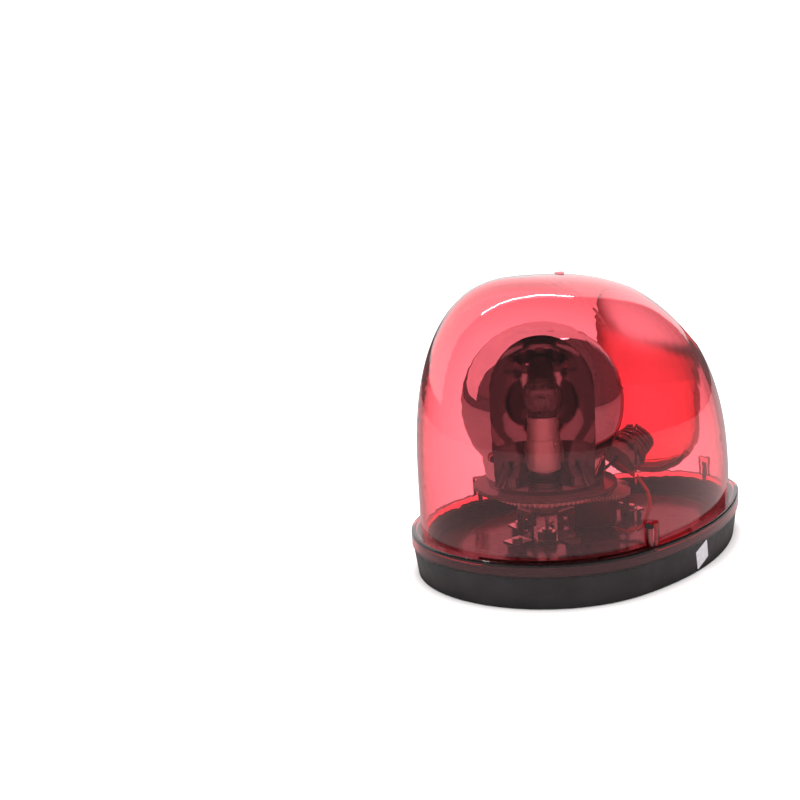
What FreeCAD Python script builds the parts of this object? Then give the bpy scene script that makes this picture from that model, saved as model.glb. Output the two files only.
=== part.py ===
"""Rotating beacon: a teardrop magnetic-mount warning lamp with a revolving reflector.

Frame: millimetres, +Z up, origin on the floor under the middle of the plan outline,
+Y towards the narrow tail, symmetric about X = 0 apart from the gear train and the
heading at which the reflector rests.
"""
import FreeCAD, Part
import Sketcher
import math
import os
from types import SimpleNamespace

Vector = FreeCAD.Vector
UP = Vector(0, 0, 1)

# ---------------------------------------------------------------- driving sizes
SIZES = [
    ("head_radius", 65.0, "plan outline: radius of the wide front end, at the flange edge"),
    ("tail_radius", 35.0, "plan outline: radius of the narrow rear end"),
    ("head_to_tail", 85.0, "plan outline: distance between those two centres"),
    ("side_radius", 162.0, "plan outline: radius of the two side arcs"),
    ("foot_gap", 0.4, "height of the housing edge over the magnet pad's face"),
    ("base_height", 14.8, "top of the black housing's outer wall"),
    ("base_draft", 1.9, "how far the housing's wall leans in at its bottom edge"),
    ("base_step", 0.6, "inset of the housing's wall from the flange edge"),
    ("base_wall", 2.6, "housing wall thickness"),
    ("floor_level", 12.0, "upper face of the housing's floor"),
    ("floor_thickness", 2.5, "thickness of that floor"),
    ("rim_inset", 10.0, "inset of the inner edge of the housing's rim"),
    ("rib_thickness", 1.8, "ribs under the floor"),
    ("flange_height", 6.8, "height of the dome's flange"),
    ("skirt_wall", 2.2, "wall of the flange's outer skirt"),
    ("seal_thickness", 1.5, "rubber seal under the flange"),
    ("seal_margin", 0.8, "seal edge to rim edge"),
    ("ledge", 4.6, "flange ledge outside the dome wall"),
    ("dome_wall", 2.5, "dome wall thickness"),
    ("dome_height", 139.6, "crown of the dome over the floor"),
    ("head_knee", 47.0, "height at which the head's wall starts to curve in"),
    ("head_power", 2.44, "roundness of the head's curve"),
    ("tail_knee", 22.0, "height at which the tail's wall starts to curve in"),
    ("tail_power", 2.36, "roundness of the tail's curve"),
    ("crown_forward", 10.0, "crown ahead of the lamp axis"),
    ("gate_radius", 2.2, "moulding gate mark on the crown"),
    ("gate_drop", 0.1, "top of that mark below the crown"),
    ("gate_back", 14.0, "gate mark behind the lamp axis"),
    ("well_radius", 22.0, "round well in the dome's tail"),
    ("well_back", 72.5, "well centre behind the lamp axis"),
    ("well_centre_height", 56.5, "centre of the well's round bottom"),
    ("well_rim", 1.0, "rounding of the well's rim"),
    ("boss_radius", 4.1, "outside screw bosses on the flange"),
    ("boss_height", 10.0, "height of those bosses over the flange"),
    ("boss_inset", 5.3, "boss centre inside the flange edge"),
    ("boss_back", 7.0, "side bosses behind the lamp axis"),
    ("screw_radius", 1.4, "dome screw shank"),
    ("screw_head_radius", 2.1, "dome screw head"),
    ("screw_head_height", 1.6, "dome screw head"),
    ("screw_seat", 8.0, "level of the dome screws' heads under the housing"),
    ("gland_bore", 2.3, "bore of the cord gland"),
    ("gland_neck", 6.5, "gland neck in the well's wall"),
    ("gland_collar", 9.5, "gland collars on both sides of the wall"),
    ("gland_collar_depth", 2.4, "thickness of those collars"),
    ("gland_sleeve", 8.6, "ribbed sleeve beyond the collar, largest rib"),
    ("gland_length", 9.0, "ribbed sleeve beyond the collar"),
    ("gland_tilt", 31.0, "gland axis over the horizontal, degrees"),
    ("pad_radius", 36.4, "rubber pad of the magnet"),
    ("pad_thickness", 1.4, "rubber pad of the magnet"),
    ("pad_lip", 3.6, "height of the pad's lip"),
    ("cup_radius", 35.0, "steel cup of the magnet"),
    ("cup_wall", 1.6, "steel cup of the magnet"),
    ("magnet_radius", 32.0, "ring magnet"),
    ("magnet_bore", 11.0, "ring magnet"),
    ("magnet_thickness", 6.0, "ring magnet"),
    ("bolt_radius", 2.5, "magnet bolt shank"),
    ("bolt_head_radius", 5.2, "magnet bolt head"),
    ("bolt_head_height", 2.8, "magnet bolt head"),
    ("nut_flats", 8.0, "magnet nut across flats"),
    ("nut_height", 4.0, "magnet nut"),
    ("washer_radius", 6.0, "magnet washer"),
    ("washer_thickness", 1.0, "magnet washer"),
    ("plate_level", 31.0, "under face of the mechanism bracket's plate"),
    ("plate_thickness", 1.2, "bracket sheet"),
    ("plate_front_radius", 11.5, "bracket plate round the lamp axis"),
    ("plate_rear_radius", 19.5, "bracket plate round the motor"),
    ("leg_width", 10.0, "bracket legs"),
    ("bend_radius", 1.2, "inner radius of the bracket's bends"),
    ("foot_length", 10.5, "bracket feet"),
    ("stand_height", 3.0, "stands that the bracket's feet sit on"),
    ("stand_radius", 4.6, "stands that the bracket's feet sit on"),
    ("foot_screw_radius", 1.3, "bracket screws"),
    ("foot_screw_head", 2.6, "bracket screws' heads"),
    ("foot_screw_depth", 5.0, "bracket screws below the feet"),
    ("running_gap", 0.05, "radial clearance of running fits"),
    ("free_gap", 0.3, "clearance between pieces that move past each other"),
    ("seat_gap", 0.05, "clearance of pieces that sit inside each other"),
    ("gear_module", 0.8, "lamp gear and idler pinion"),
    ("gear_width", 3.0, "lamp gear"),
    ("wheel_module", 0.5, "idler wheel and motor pinion"),
    ("wheel_width", 2.0, "idler wheel"),
    ("tooth_play", 0.12, "backlash of each gear pair"),
    ("post_radius", 6.0, "lamp post"),
    ("post_bore", 3.6, "lamp post"),
    ("post_flange_radius", 9.0, "lamp post's flange"),
    ("post_flange_thickness", 1.4, "lamp post's flange"),
    ("post_top", 46.8, "top of the lamp post"),
    ("post_tail", 5.6, "threaded end of the post below the plate"),
    ("post_nut_flats", 14.0, "nut of the lamp post"),
    ("post_nut_height", 3.4, "nut of the lamp post"),
    ("thrust_thickness", 0.4, "fibre washer under the bearing"),
    ("bush_wall", 2.0, "bearing bush"),
    ("bush_length", 10.0, "bearing bush"),
    ("clip_thickness", 0.8, "retaining clip on the post"),
    ("clip_radius", 8.4, "retaining clip on the post"),
    ("hub_wall", 2.2, "lamp gear's hub"),
    ("disc_radius", 34.0, "turntable disc"),
    ("disc_level", 39.6, "under face of the turntable disc"),
    ("disc_thickness", 2.0, "turntable disc"),
    ("rotor_screw_circle", 17.5, "radius of the circle of the turntable's screws"),
    ("rotor_screw_radius", 1.2, "turntable's screws"),
    ("rotor_screw_head", 2.2, "turntable's screws"),
    ("reflector_radius", 38.0, "outside of the reflector's ball"),
    ("reflector_centre", 79.5, "height of the reflector ball's centre"),
    ("reflector_wall", 1.6, "reflector wall"),
    ("reflector_foot", 27.5, "radius of the reflector's foot"),
    ("reflector_shoulder", 24.0, "drop from the ball's centre to its straight lower wall"),
    ("reflector_floor", 2.0, "reflector floor"),
    ("reflector_hole", 12.0, "hole in that floor"),
    ("mouth_half_width", 23.0, "half the width of the reflector's arched mouth"),
    ("mouth_top", 34.0, "top of the mouth over the ball's centre"),
    ("rest_heading", 48.0, "heading of the mouth at rest, from -Y towards +X, degrees"),
    ("motor_back", 30.0, "motor axis behind the lamp axis"),
    ("motor_radius", 12.2, "motor can"),
    ("motor_length", 15.4, "motor can"),
    ("motor_wall", 0.9, "motor can"),
    ("motor_boss_radius", 3.0, "motor's front boss"),
    ("motor_boss_height", 1.3, "motor's front boss"),
    ("motor_shaft_radius", 1.0, "motor shaft"),
    ("motor_cap_height", 2.0, "motor's rear cap below the can"),
    ("motor_screw_circle", 8.5, "motor screws from the motor axis"),
    ("motor_screw_radius", 1.0, "motor screws"),
    ("motor_screw_head", 1.2, "height of the motor screws' heads"),
    ("motor_screw_length", 3.0, "motor screws below their heads"),
    ("armature_radius", 8.6, "motor armature"),
    ("stud_radius", 1.5, "idler stud"),
    ("stud_clip_radius", 2.6, "clip on the idler stud"),
    ("holder_level", 48.0, "bottom of the lamp holder's sleeve"),
    ("holder_top", 62.5, "top of the lamp holder's sleeve"),
    ("holder_wall", 0.5, "lamp holder's sleeve"),
    ("cap_radius", 7.5, "bayonet lamp cap"),
    ("cap_level", 55.0, "bottom of the lamp cap"),
    ("cap_top", 73.0, "top of the lamp cap"),
    ("pin_level", 60.5, "bayonet pins"),
    ("pin_radius", 0.9, "bayonet pins"),
    ("pin_reach", 8.7, "bayonet pins' tips from the lamp axis"),
    ("globe_radius", 9.6, "lamp globe"),
    ("globe_centre", 82.0, "lamp globe"),
    ("globe_wall", 0.7, "lamp globe"),
    ("holder_floor", 1.6, "floor of the lamp holder's base"),
    ("guide_wall", 1.2, "guide round the spring contact"),
    ("guide_drop", 3.0, "top of that guide below the lamp cap"),
    ("plunger_radius", 2.4, "spring contact under the lamp"),
    ("plunger_travel", 1.5, "travel of that contact"),
    ("lead_radius", 0.9, "inner leads"),
    ("lead_spread", 5.0, "leads outside the bracket's plate"),
    ("lead_fall", 3.0, "leads' bend below the plate"),
]

LAMP_GEAR_TEETH = 60
IDLER_PINION_TEETH = 12
IDLER_WHEEL_TEETH = 48
MOTOR_PINION_TEETH = 12
PRESSURE_ANGLE = math.radians(20)
DOME_SECTIONS = 12
DOME_LAST_ANGLE = math.radians(89.2)

doc = FreeCAD.newDocument("rotating_beacon")
sheet = doc.addObject("Spreadsheet::Sheet", "sizes")
for row, (alias, value, meaning) in enumerate(SIZES, start=1):
    sheet.set(f"A{row}", meaning)
    sheet.set(f"B{row}", str(value))
    sheet.setAlias(f"B{row}", alias)
doc.recompute()


class Size:
    """A number from the sheet, or worked out from it, with the expression that says how."""

    def __init__(self, value, text):
        self.value = float(value)
        self.text = text

    def joined(self, sign, other, value):
        return Size(value, f"({self.text} {sign} {as_size(other).text})")

    def __add__(self, other):
        return self.joined("+", other, self.value + float(other))

    def __sub__(self, other):
        return self.joined("-", other, self.value - float(other))

    def __mul__(self, other):
        return self.joined("*", other, self.value * float(other))

    def __truediv__(self, other):
        return self.joined("/", other, self.value / float(other))

    def __float__(self):
        return self.value


def as_size(number):
    return number if isinstance(number, Size) else Size(number, repr(float(number)))


size = SimpleNamespace(**{
    alias: Size(sheet.get(alias), f"sizes.{alias}") for alias, _, _ in SIZES
})

# ---------------------------------------------------------------- derived places
HEAD_Y = (size.head_radius - size.head_to_tail - size.tail_radius) / 2
FLANGE_TOP = size.base_height + size.flange_height
SEAL_TOP = FLANGE_TOP - size.dome_wall
SEAL_BOTTOM = SEAL_TOP - size.seal_thickness
FLOOR_BOTTOM = size.floor_level - size.floor_thickness
FOOT_LEVEL = size.floor_level + size.stand_height
PLATE_TOP = size.plate_level + size.plate_thickness
WHEEL_LEVEL = PLATE_TOP + size.free_gap * 2
GEAR_LEVEL = WHEEL_LEVEL + size.wheel_width + size.free_gap * 2
THRUST_LEVEL = PLATE_TOP + size.post_flange_thickness
BUSH_LEVEL = THRUST_LEVEL + size.thrust_thickness + size.running_gap
BUSH_TOP = BUSH_LEVEL + size.bush_length
BUSH_RADIUS = size.post_radius + size.running_gap + size.bush_wall
FLOOR_OF_REFLECTOR = size.disc_level + size.disc_thickness
LAMP_TO_IDLER = float(size.gear_module) * (LAMP_GEAR_TEETH + IDLER_PINION_TEETH) / 2
MOTOR_TO_IDLER = float(size.wheel_module) * (IDLER_WHEEL_TEETH + MOTOR_PINION_TEETH) / 2


def idler_place():
    """Idler axis from the lamp axis, on the +X side, at its distance from both other axes."""
    back = float(size.motor_back)
    y = (LAMP_TO_IDLER ** 2 - MOTOR_TO_IDLER ** 2 + back ** 2) / (2 * back)
    return Vector(math.sqrt(LAMP_TO_IDLER ** 2 - y ** 2), y, 0)


IDLER = idler_place()
MOTOR = Vector(0, float(size.motor_back), 0)
LAMP = Vector(0, 0, 0)


# ---------------------------------------------------------------- building helpers
def place_on_lamp_axis(item):
    """Move an object modelled about the lamp axis to that axis."""
    item.setExpression("Placement.Base.y", HEAD_Y.text)


def bind(item, name, number):
    """Set a property and bind it to the sheet."""
    number = as_size(number)
    setattr(item, name, number.value)
    item.setExpression(name, number.text)


def named_shape(label, shape):
    """A sub-part whose shape is made by code about the lamp axis."""
    item = doc.addObject("Part::Feature", label)
    item.Label = label
    item.Shape = shape.removeSplitter()
    place_on_lamp_axis(item)
    return item


def origin_plane(body, role):
    return next(item for item in body.Origin.OriginFeatures if item.Role == role)


def pin_coordinate(sketch, kind, axis, corner, number):
    """Fix one coordinate of a sketch corner to a size, or to the axis where it is zero."""
    if float(number) == 0:
        sketch.addConstraint(Sketcher.Constraint("PointOnObject", corner, 1, axis))
        return
    number = as_size(number)
    index = sketch.addConstraint(Sketcher.Constraint(kind, -1, 1, corner, 1, number.value))
    sketch.setExpression(f"Constraints[{index}]", number.text)


def outline_sketch(body, role, corners):
    """A closed polygon whose every corner is bound to the sheet."""
    sketch = body.newObject("Sketcher::SketchObject", body.Name + "_outline")
    sketch.AttachmentSupport = (origin_plane(body, role), [""])
    sketch.MapMode = "FlatFace"
    points = [Vector(float(across), float(up), 0) for across, up in corners]
    for start, end in zip(points, points[1:] + points[:1]):
        sketch.addGeometry(Part.LineSegment(start, end), False)
    for corner in range(len(corners)):
        following = (corner + 1) % len(corners)
        sketch.addConstraint(Sketcher.Constraint("Coincident", corner, 2, following, 1))
    for corner, (across, up) in enumerate(corners):
        pin_coordinate(sketch, "DistanceX", -2, corner, across)
        pin_coordinate(sketch, "DistanceY", -1, corner, up)
    return sketch


def turned(label, corners):
    """A turned piece about the lamp axis, from the corners (radius, height) of its half section."""
    body = doc.addObject("PartDesign::Body", label)
    body.Label = label
    sketch = outline_sketch(body, "XZ_Plane", corners)
    revolution = body.newObject("PartDesign::Revolution", label + "_turned")
    revolution.Profile = sketch
    revolution.ReferenceAxis = (sketch, ["V_Axis"])
    revolution.Angle = 360
    sketch.Visibility = False
    place_on_lamp_axis(body)
    return body


def ring(inner, outer, bottom, top):
    """Corners of a plain ring's half section."""
    return [(inner, bottom), (outer, bottom), (outer, top), (inner, top)]


def cylinder(radius, bottom, top, centre=LAMP):
    base = Vector(centre.x, centre.y, float(bottom))
    return Part.makeCylinder(float(radius), float(top) - float(bottom), base)


def tube(inner, outer, bottom, top, centre=LAMP):
    return cylinder(outer, bottom, top, centre).cut(cylinder(inner, bottom, top, centre))


def fused(shapes):
    return shapes[0].multiFuse(shapes[1:])


def polar(radius, angle, centre=LAMP):
    return Vector(centre.x + radius * math.cos(angle), centre.y + radius * math.sin(angle), 0)


def pan_screw(head_radius, head_height, shank_radius, shank_length, place, direction):
    """A round-head screw: the head's under face at place, the shank along direction."""
    head = Part.makeCylinder(head_radius, head_height, place, -direction)
    rim = [edge for edge in head.Edges
           if edge.Curve.TypeId == "Part::GeomCircle"
           and (edge.Curve.Center - place).Length > head_height / 2]
    head = head.makeFillet(head_height * 0.45, rim)
    shank = Part.makeCylinder(shank_radius, shank_length, place, direction)
    return head.fuse(shank)


# ---------------------------------------------------------------- plan outline
def egg(head_radius, tail_radius, span, side_radius, head_y, level):
    """Closed outline of four tangent arcs: front, right side, rear, left side."""
    to_head = side_radius - head_radius
    to_tail = side_radius - tail_radius
    side_y = (to_head ** 2 - to_tail ** 2 + span ** 2) / (2 * span)
    side_x = -math.sqrt(to_head ** 2 - side_y ** 2)
    head_angle = math.atan2(-side_y, -side_x)
    tail_angle = math.atan2(span - side_y, -side_x)
    middle = (head_angle + tail_angle) / 2

    def at(centre_x, centre_y, radius, angle):
        return Vector(centre_x + radius * math.cos(angle),
                      head_y + centre_y + radius * math.sin(angle), level)

    def mirrored(point):
        return Vector(-point.x, point.y, point.z)

    front = at(0, 0, head_radius, -math.pi / 2)
    rear = at(0, span, tail_radius, math.pi / 2)
    shoulder = at(0, 0, head_radius, head_angle)
    hip = at(0, span, tail_radius, tail_angle)
    flank = at(side_x, side_y, side_radius, middle)
    arcs = [
        Part.Arc(mirrored(shoulder), front, shoulder),
        Part.Arc(shoulder, flank, hip),
        Part.Arc(hip, rear, mirrored(hip)),
        Part.Arc(mirrored(hip), mirrored(flank), mirrored(shoulder)),
    ]
    return Part.Wire([arc.toShape() for arc in arcs])


def foot(inset, level):
    """The plan outline about the lamp axis, moved in by an inset."""
    inset = float(inset)
    return egg(float(size.head_radius) - inset, float(size.tail_radius) - inset,
               float(size.head_to_tail), float(size.side_radius) - inset, 0.0, float(level))


def slab(inset, bottom, top):
    return Part.Face(foot(inset, bottom)).extrude(UP * (float(top) - float(bottom)))


def boss_places():
    """Screw places in the flange: one each side of the head and one at the tail's end."""
    inset = float(size.boss_inset)
    back = float(size.boss_back)
    side = outline_half_width(inset, back)
    tail = float(size.head_to_tail) + float(size.tail_radius) - inset
    return [Vector(side, back, 0), Vector(-side, back, 0), Vector(0, tail, 0)]


def outline_half_width(inset, back):
    """Half the width of the inset outline, behind the lamp axis where its side arcs run."""
    to_head = float(size.side_radius) - float(size.head_radius)
    to_tail = float(size.side_radius) - float(size.tail_radius)
    span = float(size.head_to_tail)
    side_y = (to_head ** 2 - to_tail ** 2 + span ** 2) / (2 * span)
    side_x = -math.sqrt(to_head ** 2 - side_y ** 2)
    reach = float(size.side_radius) - inset
    return side_x + math.sqrt(reach ** 2 - (back - side_y) ** 2)


# ---------------------------------------------------------------- housing
def foot_screw_places():
    """Screw places of the bracket's four feet: front, right, left and rear."""
    reach = float(size.plate_front_radius) + float(size.plate_thickness)
    reach += float(size.bend_radius) + float(size.foot_length) / 2
    rear = float(size.motor_back) + float(size.plate_rear_radius) + float(size.plate_thickness)
    rear += float(size.bend_radius) + float(size.foot_length) / 2
    return [Vector(0, -reach, 0), Vector(reach, 0, 0), Vector(-reach, 0, 0), Vector(0, rear, 0)]


def base_housing():
    bottom = size.foot_gap
    wall_top = foot(size.base_step, size.base_height)
    wall_foot = foot(size.base_step + size.base_draft, bottom)
    outer = Part.makeLoft([wall_foot, wall_top], True, True)
    upstand = slab(size.skirt_wall + size.seat_gap * 4, size.base_height, SEAL_BOTTOM)
    body = outer.fuse(upstand)
    body = body.cut(slab(size.rim_inset, size.floor_level, FLANGE_TOP))
    wall_inset = size.base_step + size.base_draft + size.base_wall
    underside = slab(wall_inset, bottom, FLOOR_BOTTOM)
    channel_top = SEAL_BOTTOM - size.base_wall
    channel = slab(wall_inset, FLOOR_BOTTOM, channel_top)
    channel = channel.cut(slab(size.rim_inset - size.base_wall, FLOOR_BOTTOM, channel_top))
    body = body.cut(underside).cut(channel)
    additions = [pillar.common(outer) for pillar in
                 [cylinder(size.boss_radius + 1, bottom, size.base_height, place)
                  for place in boss_places()]]
    additions.append(tube(size.pad_radius + size.free_gap, size.pad_radius + size.base_wall,
                          bottom, FLOOR_BOTTOM))
    additions += under_ribs(underside)
    additions += [cylinder(size.stand_radius, size.floor_level, FOOT_LEVEL, place)
                  for place in foot_screw_places()]
    body = fused([body] + additions)
    holes = [cylinder(size.bolt_radius + size.seat_gap * 4, FLOOR_BOTTOM, size.floor_level)]
    for place in boss_places():
        holes.append(cylinder(size.screw_radius + size.seat_gap * 4, bottom, SEAL_TOP, place))
        holes.append(cylinder(size.screw_head_radius + size.free_gap, bottom,
                              size.screw_seat, place))
    for place in foot_screw_places():
        depth = FOOT_LEVEL - size.foot_screw_depth - size.free_gap
        holes.append(cylinder(size.foot_screw_radius + size.seat_gap, depth, FOOT_LEVEL, place))
    return named_shape("base_housing", body.cut(fused(holes)))


def under_ribs(underside):
    """Ribs that run out from the magnet's socket to the outer wall, under the floor."""
    reach = float(size.head_to_tail + size.tail_radius)
    thickness = float(size.rib_thickness)
    height = float(FLOOR_BOTTOM) - float(size.foot_gap) * 3
    socket = cylinder(size.pad_radius + size.base_wall / 2, 0, FLOOR_BOTTOM)
    ribs = []
    for turn in range(0, 360, 45):
        rib = Part.makeBox(reach, thickness, height, Vector(0, -thickness / 2,
                                                            float(size.foot_gap) * 3))
        rib.rotate(LAMP, UP, turn + 22.5)
        ribs.append(rib.common(underside).cut(socket))
    return ribs


def base_seal():
    inner = size.rim_inset - size.seal_margin
    outer = size.skirt_wall + size.seal_margin
    body = slab(outer, SEAL_BOTTOM, SEAL_TOP).cut(slab(inner, SEAL_BOTTOM, SEAL_TOP))
    holes = [cylinder(size.screw_radius + size.free_gap, SEAL_BOTTOM, SEAL_TOP, place)
             for place in boss_places()]
    return named_shape("base_seal", body.cut(fused(holes)))


# ---------------------------------------------------------------- dome
def closing(level, knee, top, power):
    """Share of the foot outline that is left at a level: 1 at the knee, 0 at the top."""
    rise = max(0.0, (level - knee) / (top - knee))
    return (1 - rise ** power) ** (1 / power)


def dome_section(level, skin):
    """Outline of the dome at a level, moved in by a skin thickness."""
    top = float(size.dome_height) - skin
    head_share = closing(level, float(size.head_knee), top, float(size.head_power))
    tail_share = closing(level, float(size.tail_knee), top, float(size.tail_power))
    inset = float(size.ledge) + skin
    foot_head = float(size.head_radius) - inset
    foot_tail = float(size.tail_radius) - inset
    crown = -float(size.crown_forward)
    head_radius = foot_head * head_share
    tail_radius = foot_tail * head_share
    head_y = crown * (1 - head_share)
    rear = crown + (float(size.head_to_tail) + foot_tail - crown) * tail_share
    length = rear - head_y + head_radius
    foot_length = float(size.head_to_tail) + foot_tail + foot_head
    side_radius = (float(size.side_radius) - inset) * length / foot_length
    return egg(head_radius, tail_radius, rear - tail_radius - head_y, side_radius, head_y, level)


def dome_loft(skin, bottom):
    """Closed dome form from the bottom level to the crown."""
    height = float(size.dome_height) - skin - bottom
    levels = [bottom + height * math.sin(DOME_LAST_ANGLE * step / DOME_SECTIONS)
              for step in range(DOME_SECTIONS + 1)]
    return Part.makeLoft([dome_section(level, skin) for level in levels], True, False)


def well_form(skin):
    """The round-bottomed well, grown by a skin thickness."""
    radius = float(size.well_radius) + skin
    centre = Vector(0, float(size.well_back), float(size.well_centre_height))
    shaft = Part.makeCylinder(radius, float(size.dome_height), centre)
    return shaft.fuse(Part.makeSphere(radius, centre))


def well_rim_edges(shape):
    """Edges where the well's shaft opens through the dome's skin."""
    lowest = float(size.well_centre_height) + float(size.well_rim)
    found = []
    for edge in shape.Edges:
        middle = edge.valueAt((edge.FirstParameter + edge.LastParameter) / 2)
        reach = math.hypot(middle.x, middle.y - float(size.well_back))
        on_shaft = abs(reach - float(size.well_radius)) < 0.05
        if on_shaft and middle.z > lowest and edge.Curve.TypeId != "Part::GeomLine":
            found.append(edge)
    return found


def gland_axis():
    """Direction of the gland, out of the wall into the well."""
    tilt = math.radians(float(size.gland_tilt))
    return Vector(0, math.cos(tilt), math.sin(tilt))


def gland_seat():
    """Point on the well's inner face where the gland comes through."""
    centre = Vector(0, float(size.well_back), float(size.well_centre_height))
    return centre - gland_axis() * float(size.well_radius)


def dome():
    wall = float(size.dome_wall)
    flange = slab(0, size.base_height, FLANGE_TOP)
    top_edges = [edge for edge in flange.Edges
                 if abs(edge.BoundBox.ZMin - float(FLANGE_TOP)) < 0.01]
    flange = flange.makeFillet(wall * 0.4, top_edges)
    outside = flange.fuse(dome_loft(0.0, float(FLANGE_TOP) - wall / 2))
    bosses = [cylinder(size.boss_radius, SEAL_TOP, FLANGE_TOP + size.boss_height, place)
              for place in boss_places()]
    gate_place = Vector(0, float(size.gate_back), 0)
    gate_top = size.dome_height - size.gate_drop
    gate = cylinder(size.gate_radius, gate_top - size.dome_wall, gate_top, gate_place)
    outside = outside.cut(well_form(0.0))
    outside = outside.makeFillet(float(size.well_rim), well_rim_edges(outside))
    outside = fused([outside] + bosses + [gate])
    inside = dome_loft(wall, float(SEAL_TOP) - wall).cut(well_form(wall))
    under_flange = slab(size.skirt_wall, size.base_height, SEAL_TOP)
    body = outside.cut(inside).cut(under_flange)
    holes = [cylinder(size.screw_radius + size.seat_gap, SEAL_TOP,
                      FLANGE_TOP + size.boss_height - size.dome_wall, place)
             for place in boss_places()]
    seat = gland_seat() - gland_axis() * (2 * wall)
    holes.append(Part.makeCylinder(float(size.gland_neck), 4 * wall, seat, gland_axis()))
    return named_shape("dome", body.cut(fused(holes)))


def dome_screws():
    head = float(size.screw_head_height)
    level = float(size.screw_seat)
    length = float(FLANGE_TOP + size.boss_height - size.dome_wall - size.free_gap) - level
    screws = [pan_screw(float(size.screw_head_radius), head, float(size.screw_radius),
                        length, place + UP * level, UP)
              for place in boss_places()]
    return named_shape("dome_screws", Part.makeCompound(screws))


def cable_gland():
    """Rubber gland: neck in the wall, collars on both sides, ribbed sleeve into the well."""
    neck = float(size.gland_neck) - float(size.seat_gap)
    collar = float(size.gland_collar)
    depth = float(size.gland_collar_depth)
    wall = float(size.dome_wall)
    bore = float(size.gland_bore)
    sag = float(size.well_radius) - math.sqrt(float(size.well_radius) ** 2 - collar ** 2)
    back = float(size.well_radius) - math.sqrt((float(size.well_radius) + wall) ** 2 - collar ** 2)
    sleeve = float(size.gland_length)
    ribs = 4
    pitch = sleeve / ribs
    corners = [(bore, -wall - depth), (collar, -wall - depth),
               (collar, back - float(size.seat_gap) * 2), (neck, -wall), (neck, sag),
               (collar, sag), (collar, sag + depth)]
    for rib in range(ribs):
        start = sag + depth + rib * pitch
        crest = float(size.gland_sleeve) - 0.25 * rib
        corners += [(crest - 1.2, start), (crest - 1.2, start + pitch * 0.35),
                    (crest, start + pitch * 0.5), (crest, start + pitch)]
    corners.append((bore, sag + depth + sleeve))
    points = [Vector(radius, 0, along) for radius, along in corners]
    section = Part.Face(Part.makePolygon(points + points[:1]))
    body = section.revolve(LAMP, UP, 360)
    body.rotate(LAMP, Vector(1, 0, 0), float(size.gland_tilt) - 90)
    body.translate(gland_seat())
    return named_shape("cable_gland", body)


# ---------------------------------------------------------------- magnet
def magnet_parts():
    cup_bottom = size.pad_thickness
    cup_top = cup_bottom + size.magnet_thickness + size.cup_wall
    turned("magnet_pad", [
        (0, 0), (size.pad_radius - 0.6, 0), (size.pad_radius, size.foot_gap * 1.5),
        (size.pad_radius, size.pad_lip), (size.cup_radius + size.seat_gap, size.pad_lip),
        (size.cup_radius + size.seat_gap, size.pad_thickness), (0, size.pad_thickness),
    ])
    turned("magnet_cup", [
        (size.cup_radius - size.cup_wall, cup_bottom), (size.cup_radius, cup_bottom),
        (size.cup_radius, cup_top - size.cup_wall), (size.cup_radius - size.cup_wall, cup_top),
        (size.bolt_radius + size.seat_gap * 4, cup_top),
        (size.bolt_radius + size.seat_gap * 4, cup_top - size.cup_wall),
        (size.cup_radius - size.cup_wall, cup_top - size.cup_wall),
    ])
    turned("magnet_ring", ring(size.magnet_bore, size.magnet_radius,
                               cup_bottom, cup_top - size.cup_wall))
    seat = cup_top - size.cup_wall
    tip = size.floor_level + size.washer_thickness + size.nut_height + size.bolt_radius / 2
    turned("magnet_bolt", [
        (0, seat - size.bolt_head_height), (size.bolt_head_radius - 0.8,
                                            seat - size.bolt_head_height),
        (size.bolt_head_radius, seat - size.bolt_head_height + 0.8),
        (size.bolt_head_radius, seat), (size.bolt_radius, seat),
        (size.bolt_radius, tip), (0, tip),
    ])
    turned("magnet_spacer", ring(size.bolt_radius + size.seat_gap * 4, size.bolt_head_radius,
                                 cup_top, FLOOR_BOTTOM))
    turned("magnet_washer", ring(size.bolt_radius + size.seat_gap, size.washer_radius,
                                 size.floor_level, size.floor_level + size.washer_thickness))
    hex_nut("magnet_nut", size.nut_flats, size.nut_height,
            size.floor_level + size.washer_thickness, size.bolt_radius)


def hex_nut(label, flats, height, level, bore):
    """A hexagon nut about the lamp axis."""
    prism = doc.addObject("Part::Prism", label + "_hexagon")
    prism.Polygon = 6
    bind(prism, "Circumradius", flats / math.sqrt(3))
    bind(prism, "Height", height)
    hole = doc.addObject("Part::Cylinder", label + "_bore")
    bind(hole, "Radius", bore + size.seat_gap)
    bind(hole, "Height", height)
    nut = doc.addObject("Part::Cut", label)
    nut.Label = label
    nut.Base = prism
    nut.Tool = hole
    nut.setExpression("Placement.Base.z", level.text)
    place_on_lamp_axis(nut)
    return nut


# ---------------------------------------------------------------- mechanism bracket
def belt(front_radius, rear_radius, span, level, thickness):
    """Plate round two centres on the Y axis, its sides tangent to both rounds."""
    lean = math.asin((rear_radius - front_radius) / span)
    front = Vector(front_radius * math.cos(lean), -front_radius * math.sin(lean), level)
    rear = Vector(rear_radius * math.cos(lean), span - rear_radius * math.sin(lean), level)
    front_left = Vector(-front.x, front.y, level)
    rear_left = Vector(-rear.x, rear.y, level)
    edges = [
        Part.Arc(front_left, Vector(0, -front_radius, level), front).toShape(),
        Part.LineSegment(front, rear).toShape(),
        Part.Arc(rear, Vector(0, span + rear_radius, level), rear_left).toShape(),
        Part.LineSegment(rear_left, front_left).toShape(),
    ]
    return Part.Face(Part.Wire(edges)).extrude(UP * thickness)


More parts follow.
